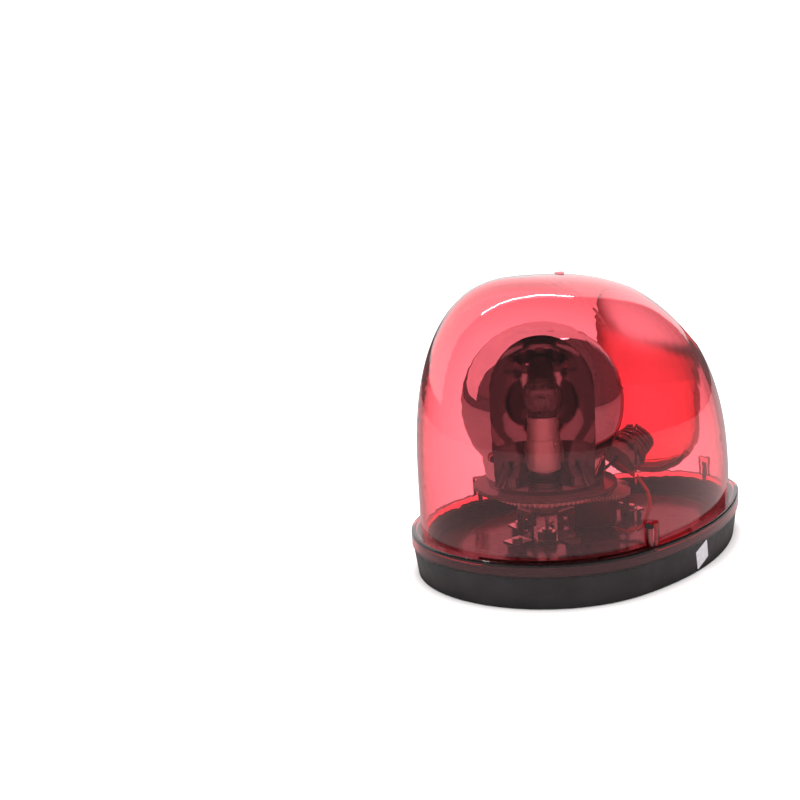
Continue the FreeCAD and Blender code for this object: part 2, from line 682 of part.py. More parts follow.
def bracket_leg(plate_edge, overlap):
    """One leg, folded down from the plate and out to its foot, pointing along -Y."""
    sheet_thickness = float(size.plate_thickness)
    bend = float(size.bend_radius)
    half = float(size.leg_width) / 2
    top = float(PLATE_TOP)
    bottom = float(FOOT_LEVEL)
    outer = bend + sheet_thickness
    drop = plate_edge + outer
    toe = drop + float(size.foot_length) - bend
    path = [
        Vector(0, -(plate_edge - overlap), top), Vector(0, -plate_edge, top),
        Vector(0, -(drop), top - outer), Vector(0, -(drop), bottom + outer),
        Vector(0, -(drop + bend), bottom + sheet_thickness), Vector(0, -toe, bottom + sheet_thickness),
        Vector(0, -toe, bottom), Vector(0, -(drop + bend), bottom),
        Vector(0, -(drop - sheet_thickness), bottom + outer),
        Vector(0, -(drop - sheet_thickness), top - outer),
        Vector(0, -plate_edge, top - sheet_thickness),
        Vector(0, -(plate_edge - overlap), top - sheet_thickness),
    ]
    rounds = {
        1: (-plate_edge, top - outer, outer, 45),
        3: (-(drop + bend), bottom + outer, bend, -45),
        7: (-(drop + bend), bottom + outer, outer, -45),
        9: (-plate_edge, top - outer, bend, 45),
    }
    edges = []
    for index, start in enumerate(path):
        end = path[(index + 1) % len(path)]
        if index in rounds:
            centre_y, centre_z, radius, turn = rounds[index]
            sign = -1 if turn > 0 else 1
            middle = Vector(0, centre_y + sign * radius * math.sqrt(0.5),
                            centre_z - sign * radius * math.sqrt(0.5))
            edges.append(Part.Arc(start, middle, end).toShape())
        else:
            edges.append(Part.LineSegment(start, end).toShape())
    leg = Part.Face(Part.Wire(edges)).extrude(Vector(2 * half, 0, 0))
    leg.translate(Vector(-half, 0, 0))
    window = Part.makeBox(half * 0.8, 4 * sheet_thickness, (top - bottom) * 0.45,
                          Vector(-half * 0.4, -drop - sheet_thickness, bottom + (top - bottom) * 0.3))
    return leg.cut(window)


def bracket():
    level = float(size.plate_level)
    thickness = float(size.plate_thickness)
    front = float(size.plate_front_radius)
    rear = float(size.plate_rear_radius)
    back = float(size.motor_back)
    pieces = [belt(front, rear, back, level, thickness)]
    for turn, centre, edge in ((0, 0, front), (90, 0, front), (-90, 0, front), (180, back, rear)):
        leg = bracket_leg(edge, edge / 2)
        leg.rotate(LAMP, UP, turn)
        leg.translate(Vector(0, centre, 0))
        pieces.append(leg)
    holes = [
        cylinder(size.post_radius - 1 + size.seat_gap, level, PLATE_TOP),
        cylinder(size.motor_boss_radius + size.seat_gap, level, PLATE_TOP, MOTOR),
        cylinder(size.stud_radius * 0.8 + size.seat_gap, level, PLATE_TOP, IDLER),
    ]
    holes += [cylinder(size.motor_screw_radius + size.seat_gap, level, PLATE_TOP, place)
              for place in motor_screw_places()]
    holes += [cylinder(size.foot_screw_radius + size.seat_gap, FOOT_LEVEL,
                       FOOT_LEVEL + size.plate_thickness, place)
              for place in foot_screw_places()]
    return named_shape("mechanism_bracket", fused(pieces).cut(fused(holes)))


def bracket_screws():
    level = float(FOOT_LEVEL + size.plate_thickness)
    screws = [pan_screw(float(size.foot_screw_head), 1.6, float(size.foot_screw_radius),
                        float(size.foot_screw_depth) + float(size.plate_thickness),
                        place + UP * level, -UP)
              for place in foot_screw_places()]
    return named_shape("bracket_screws", Part.makeCompound(screws))


# ---------------------------------------------------------------- gears
def involute_point(base_radius, radius, base_angle):
    """Point of an involute flank at a radius; base_angle is where it leaves the base circle."""
    roll = math.sqrt(max(0.0, (radius / base_radius) ** 2 - 1))
    return polar(radius, base_angle + roll - math.atan(roll))


def gear_blank(module, teeth, play, level, width, heading, centre):
    """Spur gear with a tooth centred on the heading."""
    pitch = module * teeth / 2
    base = pitch * math.cos(PRESSURE_ANGLE)
    tip = pitch + 0.85 * module
    root = pitch - 1.1 * module
    start = max(base, root)
    flank = math.tan(PRESSURE_ANGLE) - PRESSURE_ANGLE
    half_tooth = math.pi / (2 * teeth) - play / (4 * pitch) + flank
    step = 2 * math.pi / teeth
    edges = []
    for tooth in range(teeth):
        middle = heading + tooth * step

        def on_flank(radius, side):
            point = involute_point(base, radius, -half_tooth)
            angle = math.atan2(point.y, point.x)
            return polar(radius, middle + side * angle)

        rise = [on_flank(radius, 1) for radius in (start, (start + tip) / 2, tip)]
        fall = [on_flank(radius, -1) for radius in (tip, (start + tip) / 2, start)]
        foot_in = polar(root, math.atan2(rise[0].y, rise[0].x))
        foot_out = polar(root, math.atan2(fall[2].y, fall[2].x))
        next_foot = polar(root, math.atan2(rise[0].y, rise[0].x) + step)
        if start > root:
            edges.append(Part.LineSegment(foot_in, rise[0]).toShape())
        edges.append(Part.Arc(*rise).toShape())
        edges.append(Part.LineSegment(rise[2], fall[0]).toShape())
        edges.append(Part.Arc(*fall).toShape())
        if start > root:
            edges.append(Part.LineSegment(fall[2], foot_out).toShape())
        edges.append(Part.LineSegment(foot_out, next_foot).toShape())
    blank = Part.Face(Part.Wire(edges)).extrude(UP * float(width))
    blank.translate(Vector(centre.x, centre.y, float(level)))
    return blank


def heading(start, end):
    return math.atan2(end.y - start.y, end.x - start.x)


def facing_gap(direction, teeth):
    """Heading of a tooth that leaves a gap centred on the direction."""
    return direction + math.pi / teeth


def rotor_screw_places():
    first = math.radians(float(size.rest_heading)) - math.pi / 2 + math.pi / 3
    circle = float(size.rotor_screw_circle)
    return [polar(circle, first + turn * 2 * math.pi / 3) for turn in range(3)]


def drive_gear():
    """Lamp gear: toothed rim, web, hub on the bearing bush, and three screw pillars."""
    module = float(size.gear_module)
    rim_inner = module * LAMP_GEAR_TEETH / 2 - 3.5 * module
    hub = BUSH_RADIUS + size.hub_wall
    hub_bottom = BUSH_LEVEL + size.free_gap
    web_bottom = GEAR_LEVEL + size.gear_width * 0.25
    web_top = GEAR_LEVEL + size.gear_width * 0.75
    blank = gear_blank(module, LAMP_GEAR_TEETH, float(size.tooth_play), GEAR_LEVEL,
                       size.gear_width, heading(LAMP, IDLER), LAMP)
    body = blank.cut(cylinder(rim_inner, GEAR_LEVEL, GEAR_LEVEL + size.gear_width))
    pillar = size.rotor_screw_head + 1.0
    pieces = [cylinder(rim_inner + module / 2, web_bottom, web_top),
              cylinder(hub, hub_bottom, size.disc_level)]
    pieces += [cylinder(pillar, GEAR_LEVEL, size.disc_level, place)
               for place in rotor_screw_places()]
    body = fused([body] + pieces)
    holes = [cylinder(BUSH_RADIUS + 0.02, hub_bottom, size.disc_level)]
    for place in rotor_screw_places():
        holes.append(cylinder(size.rotor_screw_radius + size.seat_gap, GEAR_LEVEL,
                              size.disc_level, place))
        holes.append(cylinder(size.rotor_screw_head + size.seat_gap, GEAR_LEVEL,
                              GEAR_LEVEL + size.gear_width / 2, place))
    windows = [cylinder(4.2, web_bottom, web_top,
                        polar(float(size.rotor_screw_circle) - 1.2,
                              heading(LAMP, place) + math.pi / 3))
               for place in rotor_screw_places()]
    return named_shape("drive_gear", body.cut(fused(holes + windows)))


def idler_gear():
    """Two-step idler: wide wheel driven by the motor, narrow pinion driving the lamp gear."""
    wheel = gear_blank(float(size.wheel_module), IDLER_WHEEL_TEETH, float(size.tooth_play),
                       WHEEL_LEVEL, size.wheel_width, heading(IDLER, MOTOR), IDLER)
    pinion_top = GEAR_LEVEL + size.gear_width
    pinion_heading = facing_gap(heading(IDLER, LAMP), IDLER_PINION_TEETH)
    pinion_bottom = WHEEL_LEVEL + size.wheel_width
    pinion = gear_blank(float(size.gear_module), IDLER_PINION_TEETH, float(size.tooth_play),
                        pinion_bottom, pinion_top - pinion_bottom, pinion_heading, IDLER)
    foot_ring = cylinder(size.stud_radius + 1.0, PLATE_TOP + size.free_gap, WHEEL_LEVEL, IDLER)
    body = fused([wheel, pinion, foot_ring])
    bore = cylinder(size.stud_radius + size.running_gap, PLATE_TOP, pinion_top, IDLER)
    return named_shape("idler_gear", body.cut(bore))


def idler_stud():
    top = GEAR_LEVEL + size.gear_width + size.free_gap * 2
    shank = cylinder(size.stud_radius, PLATE_TOP, top, IDLER)
    spigot = cylinder(size.stud_radius * 0.8, size.plate_level, PLATE_TOP, IDLER)
    upset = cylinder(size.stud_radius * 1.4, size.plate_level - 0.8, size.plate_level, IDLER)
    groove = tube(size.stud_radius * 0.7, size.stud_radius + 0.1, top - 0.55, top - 0.25, IDLER)
    return named_shape("idler_stud", fused([shank, spigot, upset]).cut(groove))


def idler_clip():
    top = GEAR_LEVEL + size.gear_width + size.free_gap * 2
    clip = tube(size.stud_radius * 0.7 + size.seat_gap, size.stud_clip_radius,
                top - 0.5, top - 0.3, IDLER)
    slot = Part.makeBox(float(size.stud_radius), float(size.stud_clip_radius) * 1.2, 1.0,
                        Vector(IDLER.x - float(size.stud_radius) / 2, IDLER.y, float(top) - 1))
    return named_shape("idler_clip", clip.cut(slot))


# ---------------------------------------------------------------- motor
def motor_screw_places():
    """Screws either side of the motor axis, square to the idler's direction."""
    across = heading(MOTOR, IDLER) + math.pi / 2
    circle = float(size.motor_screw_circle)
    return [polar(circle, across, MOTOR), polar(circle, across + math.pi, MOTOR)]


def motor_parts():
    top = size.plate_level
    bottom = top - size.motor_length
    can = cylinder(size.motor_radius, bottom, top, MOTOR)
    rim = [edge for edge in can.Edges if edge.Curve.TypeId == "Part::GeomCircle"
           and abs(edge.Curve.Center.z - float(top)) < 0.01]
    can = can.makeFillet(float(size.motor_wall), rim)
    can = can.cut(cylinder(size.motor_radius - size.motor_wall, bottom, top - size.motor_wall,
                           MOTOR))
    can = can.fuse(cylinder(size.motor_boss_radius, top - size.motor_wall,
                            top + size.motor_boss_height, MOTOR))
    shaft_hole = cylinder(size.motor_shaft_radius + size.running_gap, bottom,
                          top + size.motor_boss_height, MOTOR)
    screw_holes = [cylinder(size.motor_screw_radius + size.seat_gap, bottom, top, place)
                   for place in motor_screw_places()]
    named_shape("motor_can", can.cut(fused([shaft_hole] + screw_holes)))

    plug_radius = size.motor_radius - size.motor_wall - size.seat_gap
    cap = cylinder(size.motor_radius - 0.4, bottom - size.motor_cap_height, bottom, MOTOR)
    cap = cap.fuse(cylinder(plug_radius, bottom, bottom + 1.2, MOTOR))
    cap = cap.cut(cylinder(size.motor_shaft_radius + size.running_gap,
                           bottom - size.motor_cap_height + 0.8, bottom + 1.2, MOTOR))
    tags = []
    for side in (1, -1):
        tag = Part.makeBox(5.0, 2.4, 0.5, Vector(-2.5, -1.2, 0))
        tag.translate(Vector(side * (float(size.motor_radius) + 0.6), MOTOR.y,
                             float(bottom) - 1.25))
        tags.append(tag)
    named_shape("motor_cap", cap.cut(fused(tags)))
    named_shape("motor_tags", Part.makeCompound(tags))

    shaft_bottom = bottom - size.motor_cap_height + 0.9
    shaft_top = WHEEL_LEVEL + size.wheel_width + size.free_gap
    named_shape("motor_shaft", cylinder(size.motor_shaft_radius, shaft_bottom, shaft_top, MOTOR))
    armature = tube(size.motor_shaft_radius, size.armature_radius, bottom + 2.2,
                    top - size.motor_wall - 1.0, MOTOR)
    slots = []
    for turn in range(3):
        slot = Part.makeBox(4.0, 1.6, float(size.motor_length),
                            Vector(float(size.armature_radius) - 3.0, -0.8, float(bottom)))
        slot.rotate(LAMP, UP, turn * 120)
        slot.translate(MOTOR)
        slots.append(slot)
    named_shape("motor_armature", armature.cut(fused(slots)))
    pinion_heading = facing_gap(heading(MOTOR, IDLER), MOTOR_PINION_TEETH)
    pinion = gear_blank(float(size.wheel_module), MOTOR_PINION_TEETH, float(size.tooth_play),
                        WHEEL_LEVEL + size.free_gap / 3, size.wheel_width - size.free_gap / 3,
                        pinion_heading, MOTOR)
    named_shape("motor_pinion", pinion.cut(
        cylinder(size.motor_shaft_radius, WHEEL_LEVEL, WHEEL_LEVEL + size.wheel_width, MOTOR)))
    screws = [pan_screw(float(size.motor_screw_radius) * 1.9, float(size.motor_screw_head),
                        float(size.motor_screw_radius), float(size.motor_screw_length),
                        place + UP * float(PLATE_TOP), -UP)
              for place in motor_screw_places()]
    named_shape("motor_screws", Part.makeCompound(screws))


# ---------------------------------------------------------------- lamp post and rotor
def post_parts():
    neck = size.post_radius - 1
    turned("lamp_post", [
        (size.post_bore, size.plate_level - size.post_tail),
        (neck, size.plate_level - size.post_tail), (neck, PLATE_TOP),
        (size.post_flange_radius, PLATE_TOP), (size.post_flange_radius, THRUST_LEVEL),
        (size.post_radius, THRUST_LEVEL), (size.post_radius, BUSH_TOP + size.free_gap),
        (size.post_radius - 0.8, BUSH_TOP + size.free_gap),
        (size.post_radius - 0.8, BUSH_TOP + size.free_gap + size.clip_thickness),
        (size.post_radius, BUSH_TOP + size.free_gap + size.clip_thickness),
        (size.post_radius, size.post_top), (size.post_bore, size.post_top),
    ])
    hex_nut("post_nut", size.post_nut_flats, size.post_nut_height,
            size.plate_level - size.post_nut_height, neck)
    turned("thrust_washer", ring(size.post_radius + size.seat_gap, size.post_flange_radius - 0.4,
                                 THRUST_LEVEL, THRUST_LEVEL + size.thrust_thickness))
    bush_inner = size.post_radius + size.running_gap
    turned("bearing_bush", [
        (bush_inner, BUSH_LEVEL), (size.post_flange_radius, BUSH_LEVEL),
        (size.post_flange_radius, BUSH_LEVEL + size.free_gap),
        (BUSH_RADIUS, BUSH_LEVEL + size.free_gap), (BUSH_RADIUS, BUSH_TOP),
        (bush_inner, BUSH_TOP),
    ])
    level = BUSH_TOP + size.free_gap
    clip = tube(size.post_radius - 0.8 + size.seat_gap, size.clip_radius,
                level + 0.02, level + size.clip_thickness - 0.02)
    slot = Part.makeBox(float(size.post_radius) * 1.2, float(size.clip_radius) * 1.2, 3.0,
                        Vector(-float(size.post_radius) * 0.6, 0, float(level) - 1))
    named_shape("retaining_clip", clip.cut(slot))


def turntable():
    disc = cylinder(size.disc_radius, size.disc_level, FLOOR_OF_REFLECTOR)
    rim = [edge for edge in disc.Edges if edge.Curve.TypeId == "Part::GeomCircle"]
    disc = disc.makeFillet(float(size.disc_thickness) * 0.3, rim)
    holes = [cylinder(BUSH_RADIUS + size.seat_gap, size.disc_level, FLOOR_OF_REFLECTOR)]
    holes += [cylinder(size.rotor_screw_radius + size.seat_gap, size.disc_level,
                       FLOOR_OF_REFLECTOR, place) for place in rotor_screw_places()]
    return named_shape("turntable", disc.cut(fused(holes)))


def ball_outline(skin):
    """Half section of the reflector's ball with its straight lower wall, moved in by a skin."""
    radius = float(size.reflector_radius) - skin
    centre = float(size.reflector_centre)
    drop = float(size.reflector_shoulder)
    floor = float(FLOOR_OF_REFLECTOR)
    shoulder = Vector(math.sqrt(radius ** 2 - drop ** 2), 0, centre - drop)
    waist = Vector(radius * math.cos(0.3), 0, centre + radius * math.sin(0.3))
    crown = Vector(0, 0, centre + radius)
    foot_corner = Vector(float(size.reflector_foot) - skin, 0, floor + skin)
    axis_foot = Vector(0, 0, floor + skin)
    edges = [
        Part.Arc(crown, waist, shoulder).toShape(),
        Part.LineSegment(shoulder, foot_corner).toShape(),
        Part.LineSegment(foot_corner, axis_foot).toShape(),
        Part.LineSegment(axis_foot, crown).toShape(),
    ]
    return Part.Face(Part.Wire(edges)).revolve(LAMP, UP, 360)


def mouth_tool():
    """Arched opening through the ball's front, along -Y."""
    half = float(size.mouth_half_width)
    top = float(size.reflector_centre) + float(size.mouth_top)
    floor = float(FLOOR_OF_REFLECTOR) + float(size.reflector_floor)
    spring = top - half
    reach = -1.2 * float(size.reflector_radius)
    corners = [Vector(-half, reach, floor), Vector(half, reach, floor),
               Vector(half, reach, spring), Vector(0, reach, top), Vector(-half, reach, spring)]
    edges = [
        Part.LineSegment(corners[0], corners[1]).toShape(),
        Part.LineSegment(corners[1], corners[2]).toShape(),
        Part.Arc(corners[2], corners[3], corners[4]).toShape(),
        Part.LineSegment(corners[4], corners[0]).toShape(),
    ]
    return Part.Face(Part.Wire(edges)).extrude(Vector(0, -reach, 0))


def reflector():
    wall = float(size.reflector_wall)
    floor = FLOOR_OF_REFLECTOR
    shell = ball_outline(0.0).cut(ball_outline(wall))
    mouth = mouth_tool()
    mouth.rotate(LAMP, UP, float(size.rest_heading))
    shell = shell.cut(mouth)
    bosses = [cylinder(size.rotor_screw_head, floor, floor + size.reflector_floor * 2, place)
              for place in rotor_screw_places()]
    disc = cylinder(size.reflector_foot, floor, floor + size.reflector_floor)
    body = fused([shell, disc] + bosses)
    holes = [cylinder(size.reflector_hole, floor, floor + size.reflector_floor)]
    holes += [cylinder(size.rotor_screw_radius + size.seat_gap, floor,
                       floor + size.reflector_floor * 1.5, place)
              for place in rotor_screw_places()]
    return named_shape("reflector", body.cut(fused(holes)))


def rotor_screws():
    level = GEAR_LEVEL + size.gear_width / 2
    length = FLOOR_OF_REFLECTOR + size.reflector_floor * 1.5 - level - size.free_gap
    screws = [pan_screw(float(size.rotor_screw_head), 1.2, float(size.rotor_screw_radius),
                        float(length), place + UP * float(level), UP)
              for place in rotor_screw_places()]
    return named_shape("rotor_screws", Part.makeCompound(screws))


# ---------------------------------------------------------------- lamp and its holder
def holder_parts():
    outer = size.cap_radius + size.seat_gap * 2 + size.holder_wall
    inner = outer - size.holder_wall
    base_top = size.holder_level + size.holder_floor
    sleeve = tube(inner, outer, size.holder_level, size.holder_top)
    slots = []
    for turn in (0, 180):
        slot = Part.makeBox(float(outer) + 1, float(size.pin_radius) * 2.6,
                            float(size.holder_top - size.pin_level) + 1.2,
                            Vector(0, -float(size.pin_radius) * 1.3,
                                   float(size.pin_level) - 1.2))
        slot.rotate(LAMP, UP, turn)
        slots.append(slot)
    named_shape("lamp_holder", sleeve.cut(fused(slots)))

    guide = size.plunger_radius + size.running_gap
    turned("holder_base", [
        (size.post_bore * 0.5, size.post_top), (size.post_radius, size.post_top),
        (size.post_radius, size.holder_level), (inner - size.seat_gap, size.holder_level),
        (inner - size.seat_gap, base_top), (guide + size.guide_wall, base_top),
        (guide + size.guide_wall, size.cap_level - size.guide_drop),
        (guide, size.cap_level - size.guide_drop),
        (guide, base_top), (size.post_bore * 0.5, base_top),
    ])
    plunger_top = size.cap_level - 0.8 - size.seat_gap
    turned("contact_plunger", [
        (0, plunger_top - 2.2), (size.plunger_radius, plunger_top - 2.2),
        (size.plunger_radius, plunger_top - 0.5), (size.plunger_radius - 0.6, plunger_top),
        (0, plunger_top),
    ])
    spring_bottom = float(base_top)
    spring_top = float(plunger_top) - 2.2 - float(size.seat_gap)
    wire = 0.25
    turns = 3
    coil = Part.makeHelix((spring_top - spring_bottom - 2 * wire) / turns,
                          spring_top - spring_bottom - 2 * wire, float(size.plunger_radius) - 0.6)
    start = Vector(float(size.plunger_radius) - 0.6, 0, 0)
    profile = Part.Wire([Part.makeCircle(wire, start, Vector(0, 1, 0))])
    spring = Part.Wire(coil).makePipeShell([profile], True, True)
    spring.translate(UP * (spring_bottom + wire))
    named_shape("contact_spring", spring)


def lamp_parts():
    neck = size.cap_radius - 0.9
    turned("lamp_cap", [
        (size.cap_radius - 1.2, size.cap_level), (size.cap_radius, size.cap_level + 1.0),
        (size.cap_radius, size.cap_top), (neck, size.cap_top),
        (neck, size.cap_level + 1.4), (size.cap_radius - 2.4, size.cap_level + 0.4),
        (size.cap_radius - 2.4, size.cap_level),
    ])
    pins = []
    for side in (1, -1):
        root = Vector(side * float(size.cap_radius), 0, float(size.pin_level))
        length = float(size.pin_reach - size.cap_radius)
        pins.append(Part.makeCylinder(float(size.pin_radius), length, root, Vector(side, 0, 0)))
    named_shape("bayonet_pins", Part.makeCompound(pins))
    turned("lamp_insulator", [
        (2.0, size.cap_level - 0.3), (3.4, size.cap_level - 0.3),
        (size.cap_radius - 2.4, size.cap_level), (size.cap_radius - 2.4, size.cap_level + 0.4),
        (2.0, size.cap_level + 0.4),
    ])
    turned("lamp_contact", [
        (0, size.cap_level - 0.8), (1.4, size.cap_level - 0.8), (2.0, size.cap_level - 0.3),
        (2.0, size.cap_level + 0.4), (0, size.cap_level + 0.4),
    ])
    named_shape("lamp_globe", globe_form(0.0).cut(globe_form(float(size.globe_wall))))
    named_shape("lamp_stem", stem())
    named_shape("lamp_filament", filament())


def globe_form(skin):
    """Glass globe with its neck in the cap, moved in by a skin."""
    radius = float(size.globe_radius) - skin
    centre = float(size.globe_centre)
    neck = float(size.cap_radius) - 0.95 - skin
    bottom = float(size.cap_top) - 3.0 + skin
    joint = Vector(neck, 0, centre - math.sqrt(radius ** 2 - neck ** 2))
    edges = [
        Part.Arc(Vector(0, 0, centre + radius), Vector(radius, 0, centre), joint).toShape(),
        Part.LineSegment(joint, Vector(neck, 0, bottom)).toShape(),
        Part.LineSegment(Vector(neck, 0, bottom), Vector(0, 0, bottom)).toShape(),
        Part.LineSegment(Vector(0, 0, bottom), Vector(0, 0, centre + radius)).toShape(),
    ]
    return Part.Face(Part.Wire(edges)).revolve(LAMP, UP, 360)


def stem():
    """Glass pinch that carries the filament's supports."""
    bottom = float(size.cap_top) - 3.0 + float(size.globe_wall)
    flare = Part.makeCone(4.0, 1.8, 2.6, Vector(0, 0, bottom))
    return flare.fuse(Part.makeCylinder(1.8, 1.8, Vector(0, 0, bottom + 2.6)))


def filament():
    """Two support wires that rise from the pinch, and the coiled filament between them."""
    pinch = float(size.cap_top) - 3.0 + float(size.globe_wall) + 4.4
    level = float(size.globe_centre) - 0.5
    supports = []
    for side in (1, -1):
        low = Vector(side * 0.9, 0, pinch)
        high = Vector(side * 2.6, 0, level)
        supports.append(Part.makeCylinder(0.22, (high - low).Length, low, high - low))
    coil = Part.makeCylinder(0.45, 5.2, Vector(-2.6, 0, level), Vector(1, 0, 0))
    return fused(supports + [coil])


# ---------------------------------------------------------------- inner leads
def lead(label, points):
    """A round lead along straight runs joined by tangent arcs."""
    edges = []
    start = points[0]
    for before, corner, after in zip(points, points[1:], points[2:]):
        arrive = (corner - before).normalize()
        leave = (after - corner).normalize()
        turn = arrive.getAngle(leave)
        trim = 0.45 * min((corner - before).Length, (after - corner).Length)
        radius = trim / math.tan(turn / 2)
        enter = corner - arrive * trim
        exit_point = corner + leave * trim
        inward = (leave - arrive).normalize()
        middle = corner + inward * (radius / math.cos(turn / 2) - radius)
        edges.append(Part.LineSegment(start, enter).toShape())
        edges.append(Part.Arc(enter, middle, exit_point).toShape())
        start = exit_point
    edges.append(Part.LineSegment(start, points[-1]).toShape())
    path = Part.Wire(edges)
    direction = (points[1] - points[0]).normalize()
    profile = Part.Wire([Part.makeCircle(float(size.lead_radius), points[0], direction)])
    body = path.makePipeShell([profile], True, True)
    expected = math.pi * float(size.lead_radius) ** 2 * path.Length
    print(f"{label}: length {path.Length:.1f}, volume ratio {body.Volume / expected:.3f}")
    return named_shape(label, body)


def inner_leads():
    """Two leads from the gland to the motor's tags, and one from there up into the post."""
    tag_level = float(size.plate_level - size.motor_length) - 1.0
    tag_reach = float(size.motor_radius) + 3.1
    wall = float(size.dome_wall)
    depth = float(size.gland_collar_depth)
    mouth = gland_seat() - gland_axis() * (wall + depth + float(size.free_gap))
    along = gland_axis() * -1
    deck = float(size.floor_level) + float(size.lead_radius) + float(size.free_gap)
    spread = float(size.lead_spread)
    fall = float(size.lead_fall)
    plate = float(size.plate_level)
    edge = float(size.plate_rear_radius) + spread
    for label, side in (("supply_lead", 1), ("return_lead", -1)):
        first = mouth + Vector(side * (float(size.lead_radius) + 0.2), 0, 0)
        lead(label, [
            first,
            first + along * 3 + Vector(side * 1.5, 0, 0),
            Vector(side * spread * 2, first.y + fall / 2, plate + spread),
            Vector(side * edge, first.y - fall, plate - fall),
            Vector(side * (edge + 1), MOTOR.y + 8, deck + 2.0),
            Vector(side * (edge - 2), MOTOR.y, tag_level),
            Vector(side * (tag_reach + float(size.lead_radius)), MOTOR.y, tag_level),
        ])
    tail = float(size.plate_level - size.post_tail)
    lead("lamp_lead", [
        Vector(0, 0, tail + 2.5),
        Vector(0, 0, tail - 3.0),
        Vector(-6.0, 6.0, deck + 4.5),
        Vector(-14.0, 12.0, deck),
        Vector(-18.0, 20.0, deck),
    ])


# ---------------------------------------------------------------- the whole beacon
base_housing()
base_seal()
dome()
dome_screws()
cable_gland()
magnet_parts()
bracket()
bracket_screws()
post_parts()
drive_gear()
idler_gear()
idler_stud()
idler_clip()
motor_parts()
turntable()
reflector()
rotor_screws()
holder_parts()
lamp_parts()
inner_leads()
doc.recompute()

# ---------------------------------------------------------------- check and export
for item in doc.Objects:
    for state in item.State:
        if state in ("Invalid", "Error"):
            raise RuntimeError(f"{item.Label} is {state}")

sub_parts = [item for item in doc.Objects
             if item.TypeId in ("PartDesign::Body", "Part::Feature", "Part::Cut")]
for item in sub_parts:
    if item.Shape.isNull() or not item.Shape.isValid():
        raise RuntimeError(f"{item.Label} has no valid shape")

os.makedirs("parts", exist_ok=True)
for item in sub_parts:
    item.Shape.exportStep(f"parts/{item.Label}.step")
    print(f"{item.Label}: {len(item.Shape.Solids)} solid(s), volume {item.Shape.Volume:.1f}")
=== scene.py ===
"""Looks of the rotating beacon: materials, a bare label, light and camera round the frame."""
import bpy
import math
from mathutils import Matrix, Vector
from mathutils.bvhtree import BVHTree


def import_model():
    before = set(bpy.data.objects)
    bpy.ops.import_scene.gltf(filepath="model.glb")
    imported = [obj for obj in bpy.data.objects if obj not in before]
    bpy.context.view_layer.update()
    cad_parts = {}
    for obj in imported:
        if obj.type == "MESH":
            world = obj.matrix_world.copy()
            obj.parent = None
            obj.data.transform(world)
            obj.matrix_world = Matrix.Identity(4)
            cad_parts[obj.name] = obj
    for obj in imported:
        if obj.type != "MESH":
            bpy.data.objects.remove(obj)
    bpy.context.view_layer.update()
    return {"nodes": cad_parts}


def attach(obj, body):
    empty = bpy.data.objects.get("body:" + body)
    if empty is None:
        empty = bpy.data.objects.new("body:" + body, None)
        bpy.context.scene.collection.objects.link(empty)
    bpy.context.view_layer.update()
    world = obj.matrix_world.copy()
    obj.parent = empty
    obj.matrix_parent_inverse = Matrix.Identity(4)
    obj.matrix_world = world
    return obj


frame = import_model()
NODES = frame["nodes"]
LAMP_Y = -0.0275                     # lamp's axis, from the frame's origin


# ---------------------------------------------------------------- node helpers
class Tree:
    """A material's node tree with short calls for the nodes used here."""

    def __init__(self, name):
        self.material = bpy.data.materials.new(name)
        self.material.use_nodes = True
        self.tree = self.material.node_tree
        self.tree.nodes.clear()
        self.output = self.node("ShaderNodeOutputMaterial")
        self.coordinates = self.node("ShaderNodeTexCoord").outputs["Object"]

    def node(self, kind, **settings):
        made = self.tree.nodes.new(kind)
        for name, value in settings.items():
            setattr(made, name, value)
        return made

    def feed(self, socket, value):
        if isinstance(value, bpy.types.NodeSocket):
            self.tree.links.new(value, socket)
        else:
            socket.default_value = value

    def mapped(self, scale, location=(0, 0, 0)):
        mapping = self.node("ShaderNodeMapping")
        self.feed(mapping.inputs["Vector"], self.coordinates)
        mapping.inputs["Scale"].default_value = scale
        mapping.inputs["Location"].default_value = location
        return mapping.outputs["Vector"]

    def noise(self, scale, detail, roughness=0.55, vector=None):
        made = self.node("ShaderNodeTexNoise")
        self.feed(made.inputs["Vector"], vector or self.coordinates)
        made.inputs["Scale"].default_value = scale
        made.inputs["Detail"].default_value = detail
        made.inputs["Roughness"].default_value = roughness
        return made.outputs["Fac"]

    def spread(self, value, low, high, start=0.3, end=0.7):
        made = self.node("ShaderNodeMapRange")
        self.feed(made.inputs["Value"], value)
        made.inputs["From Min"].default_value = start
        made.inputs["From Max"].default_value = end
        made.inputs["To Min"].default_value = low
        made.inputs["To Max"].default_value = high
        return made.outputs["Result"]

    def maths(self, operation, first, second=0.0):
        made = self.node("ShaderNodeMath", operation=operation)
        self.feed(made.inputs[0], first)
        self.feed(made.inputs[1], second)
        return made.outputs[0]

    def blend(self, share, first, second):
        made = self.node("ShaderNodeMix", data_type="RGBA")
        self.feed(made.inputs["Factor"], share)
        self.feed(made.inputs["A"], first)
        self.feed(made.inputs["B"], second)
        return made.outputs["Result"]

    def bump(self, height, strength, distance, normal=None):
        made = self.node("ShaderNodeBump")
        self.feed(made.inputs["Height"], height)
        made.inputs["Strength"].default_value = strength
        made.inputs["Distance"].default_value = distance
        if normal:
            self.feed(made.inputs["Normal"], normal)
        return made.outputs["Normal"]

    def shader(self, **values):
        made = self.node("ShaderNodeBsdfPrincipled")
        for name, value in values.items():
            self.feed(made.inputs[name.replace("_", " ")], value)
        return made

    def finish(self, surface, volume=None):
        self.tree.links.new(surface, self.output.inputs["Surface"])
        if volume:
            self.tree.links.new(volume, self.output.inputs["Volume"])
        return self.material


def rgb(*values):
    return (values[0], values[1], values[2], 1.0)


def placed(name, data):
    """Object of its own for a mesh, a lamp or a camera, put into the scene."""
    made = bpy.data.objects.new(name, data)
    bpy.context.scene.collection.objects.link(made)
    return made


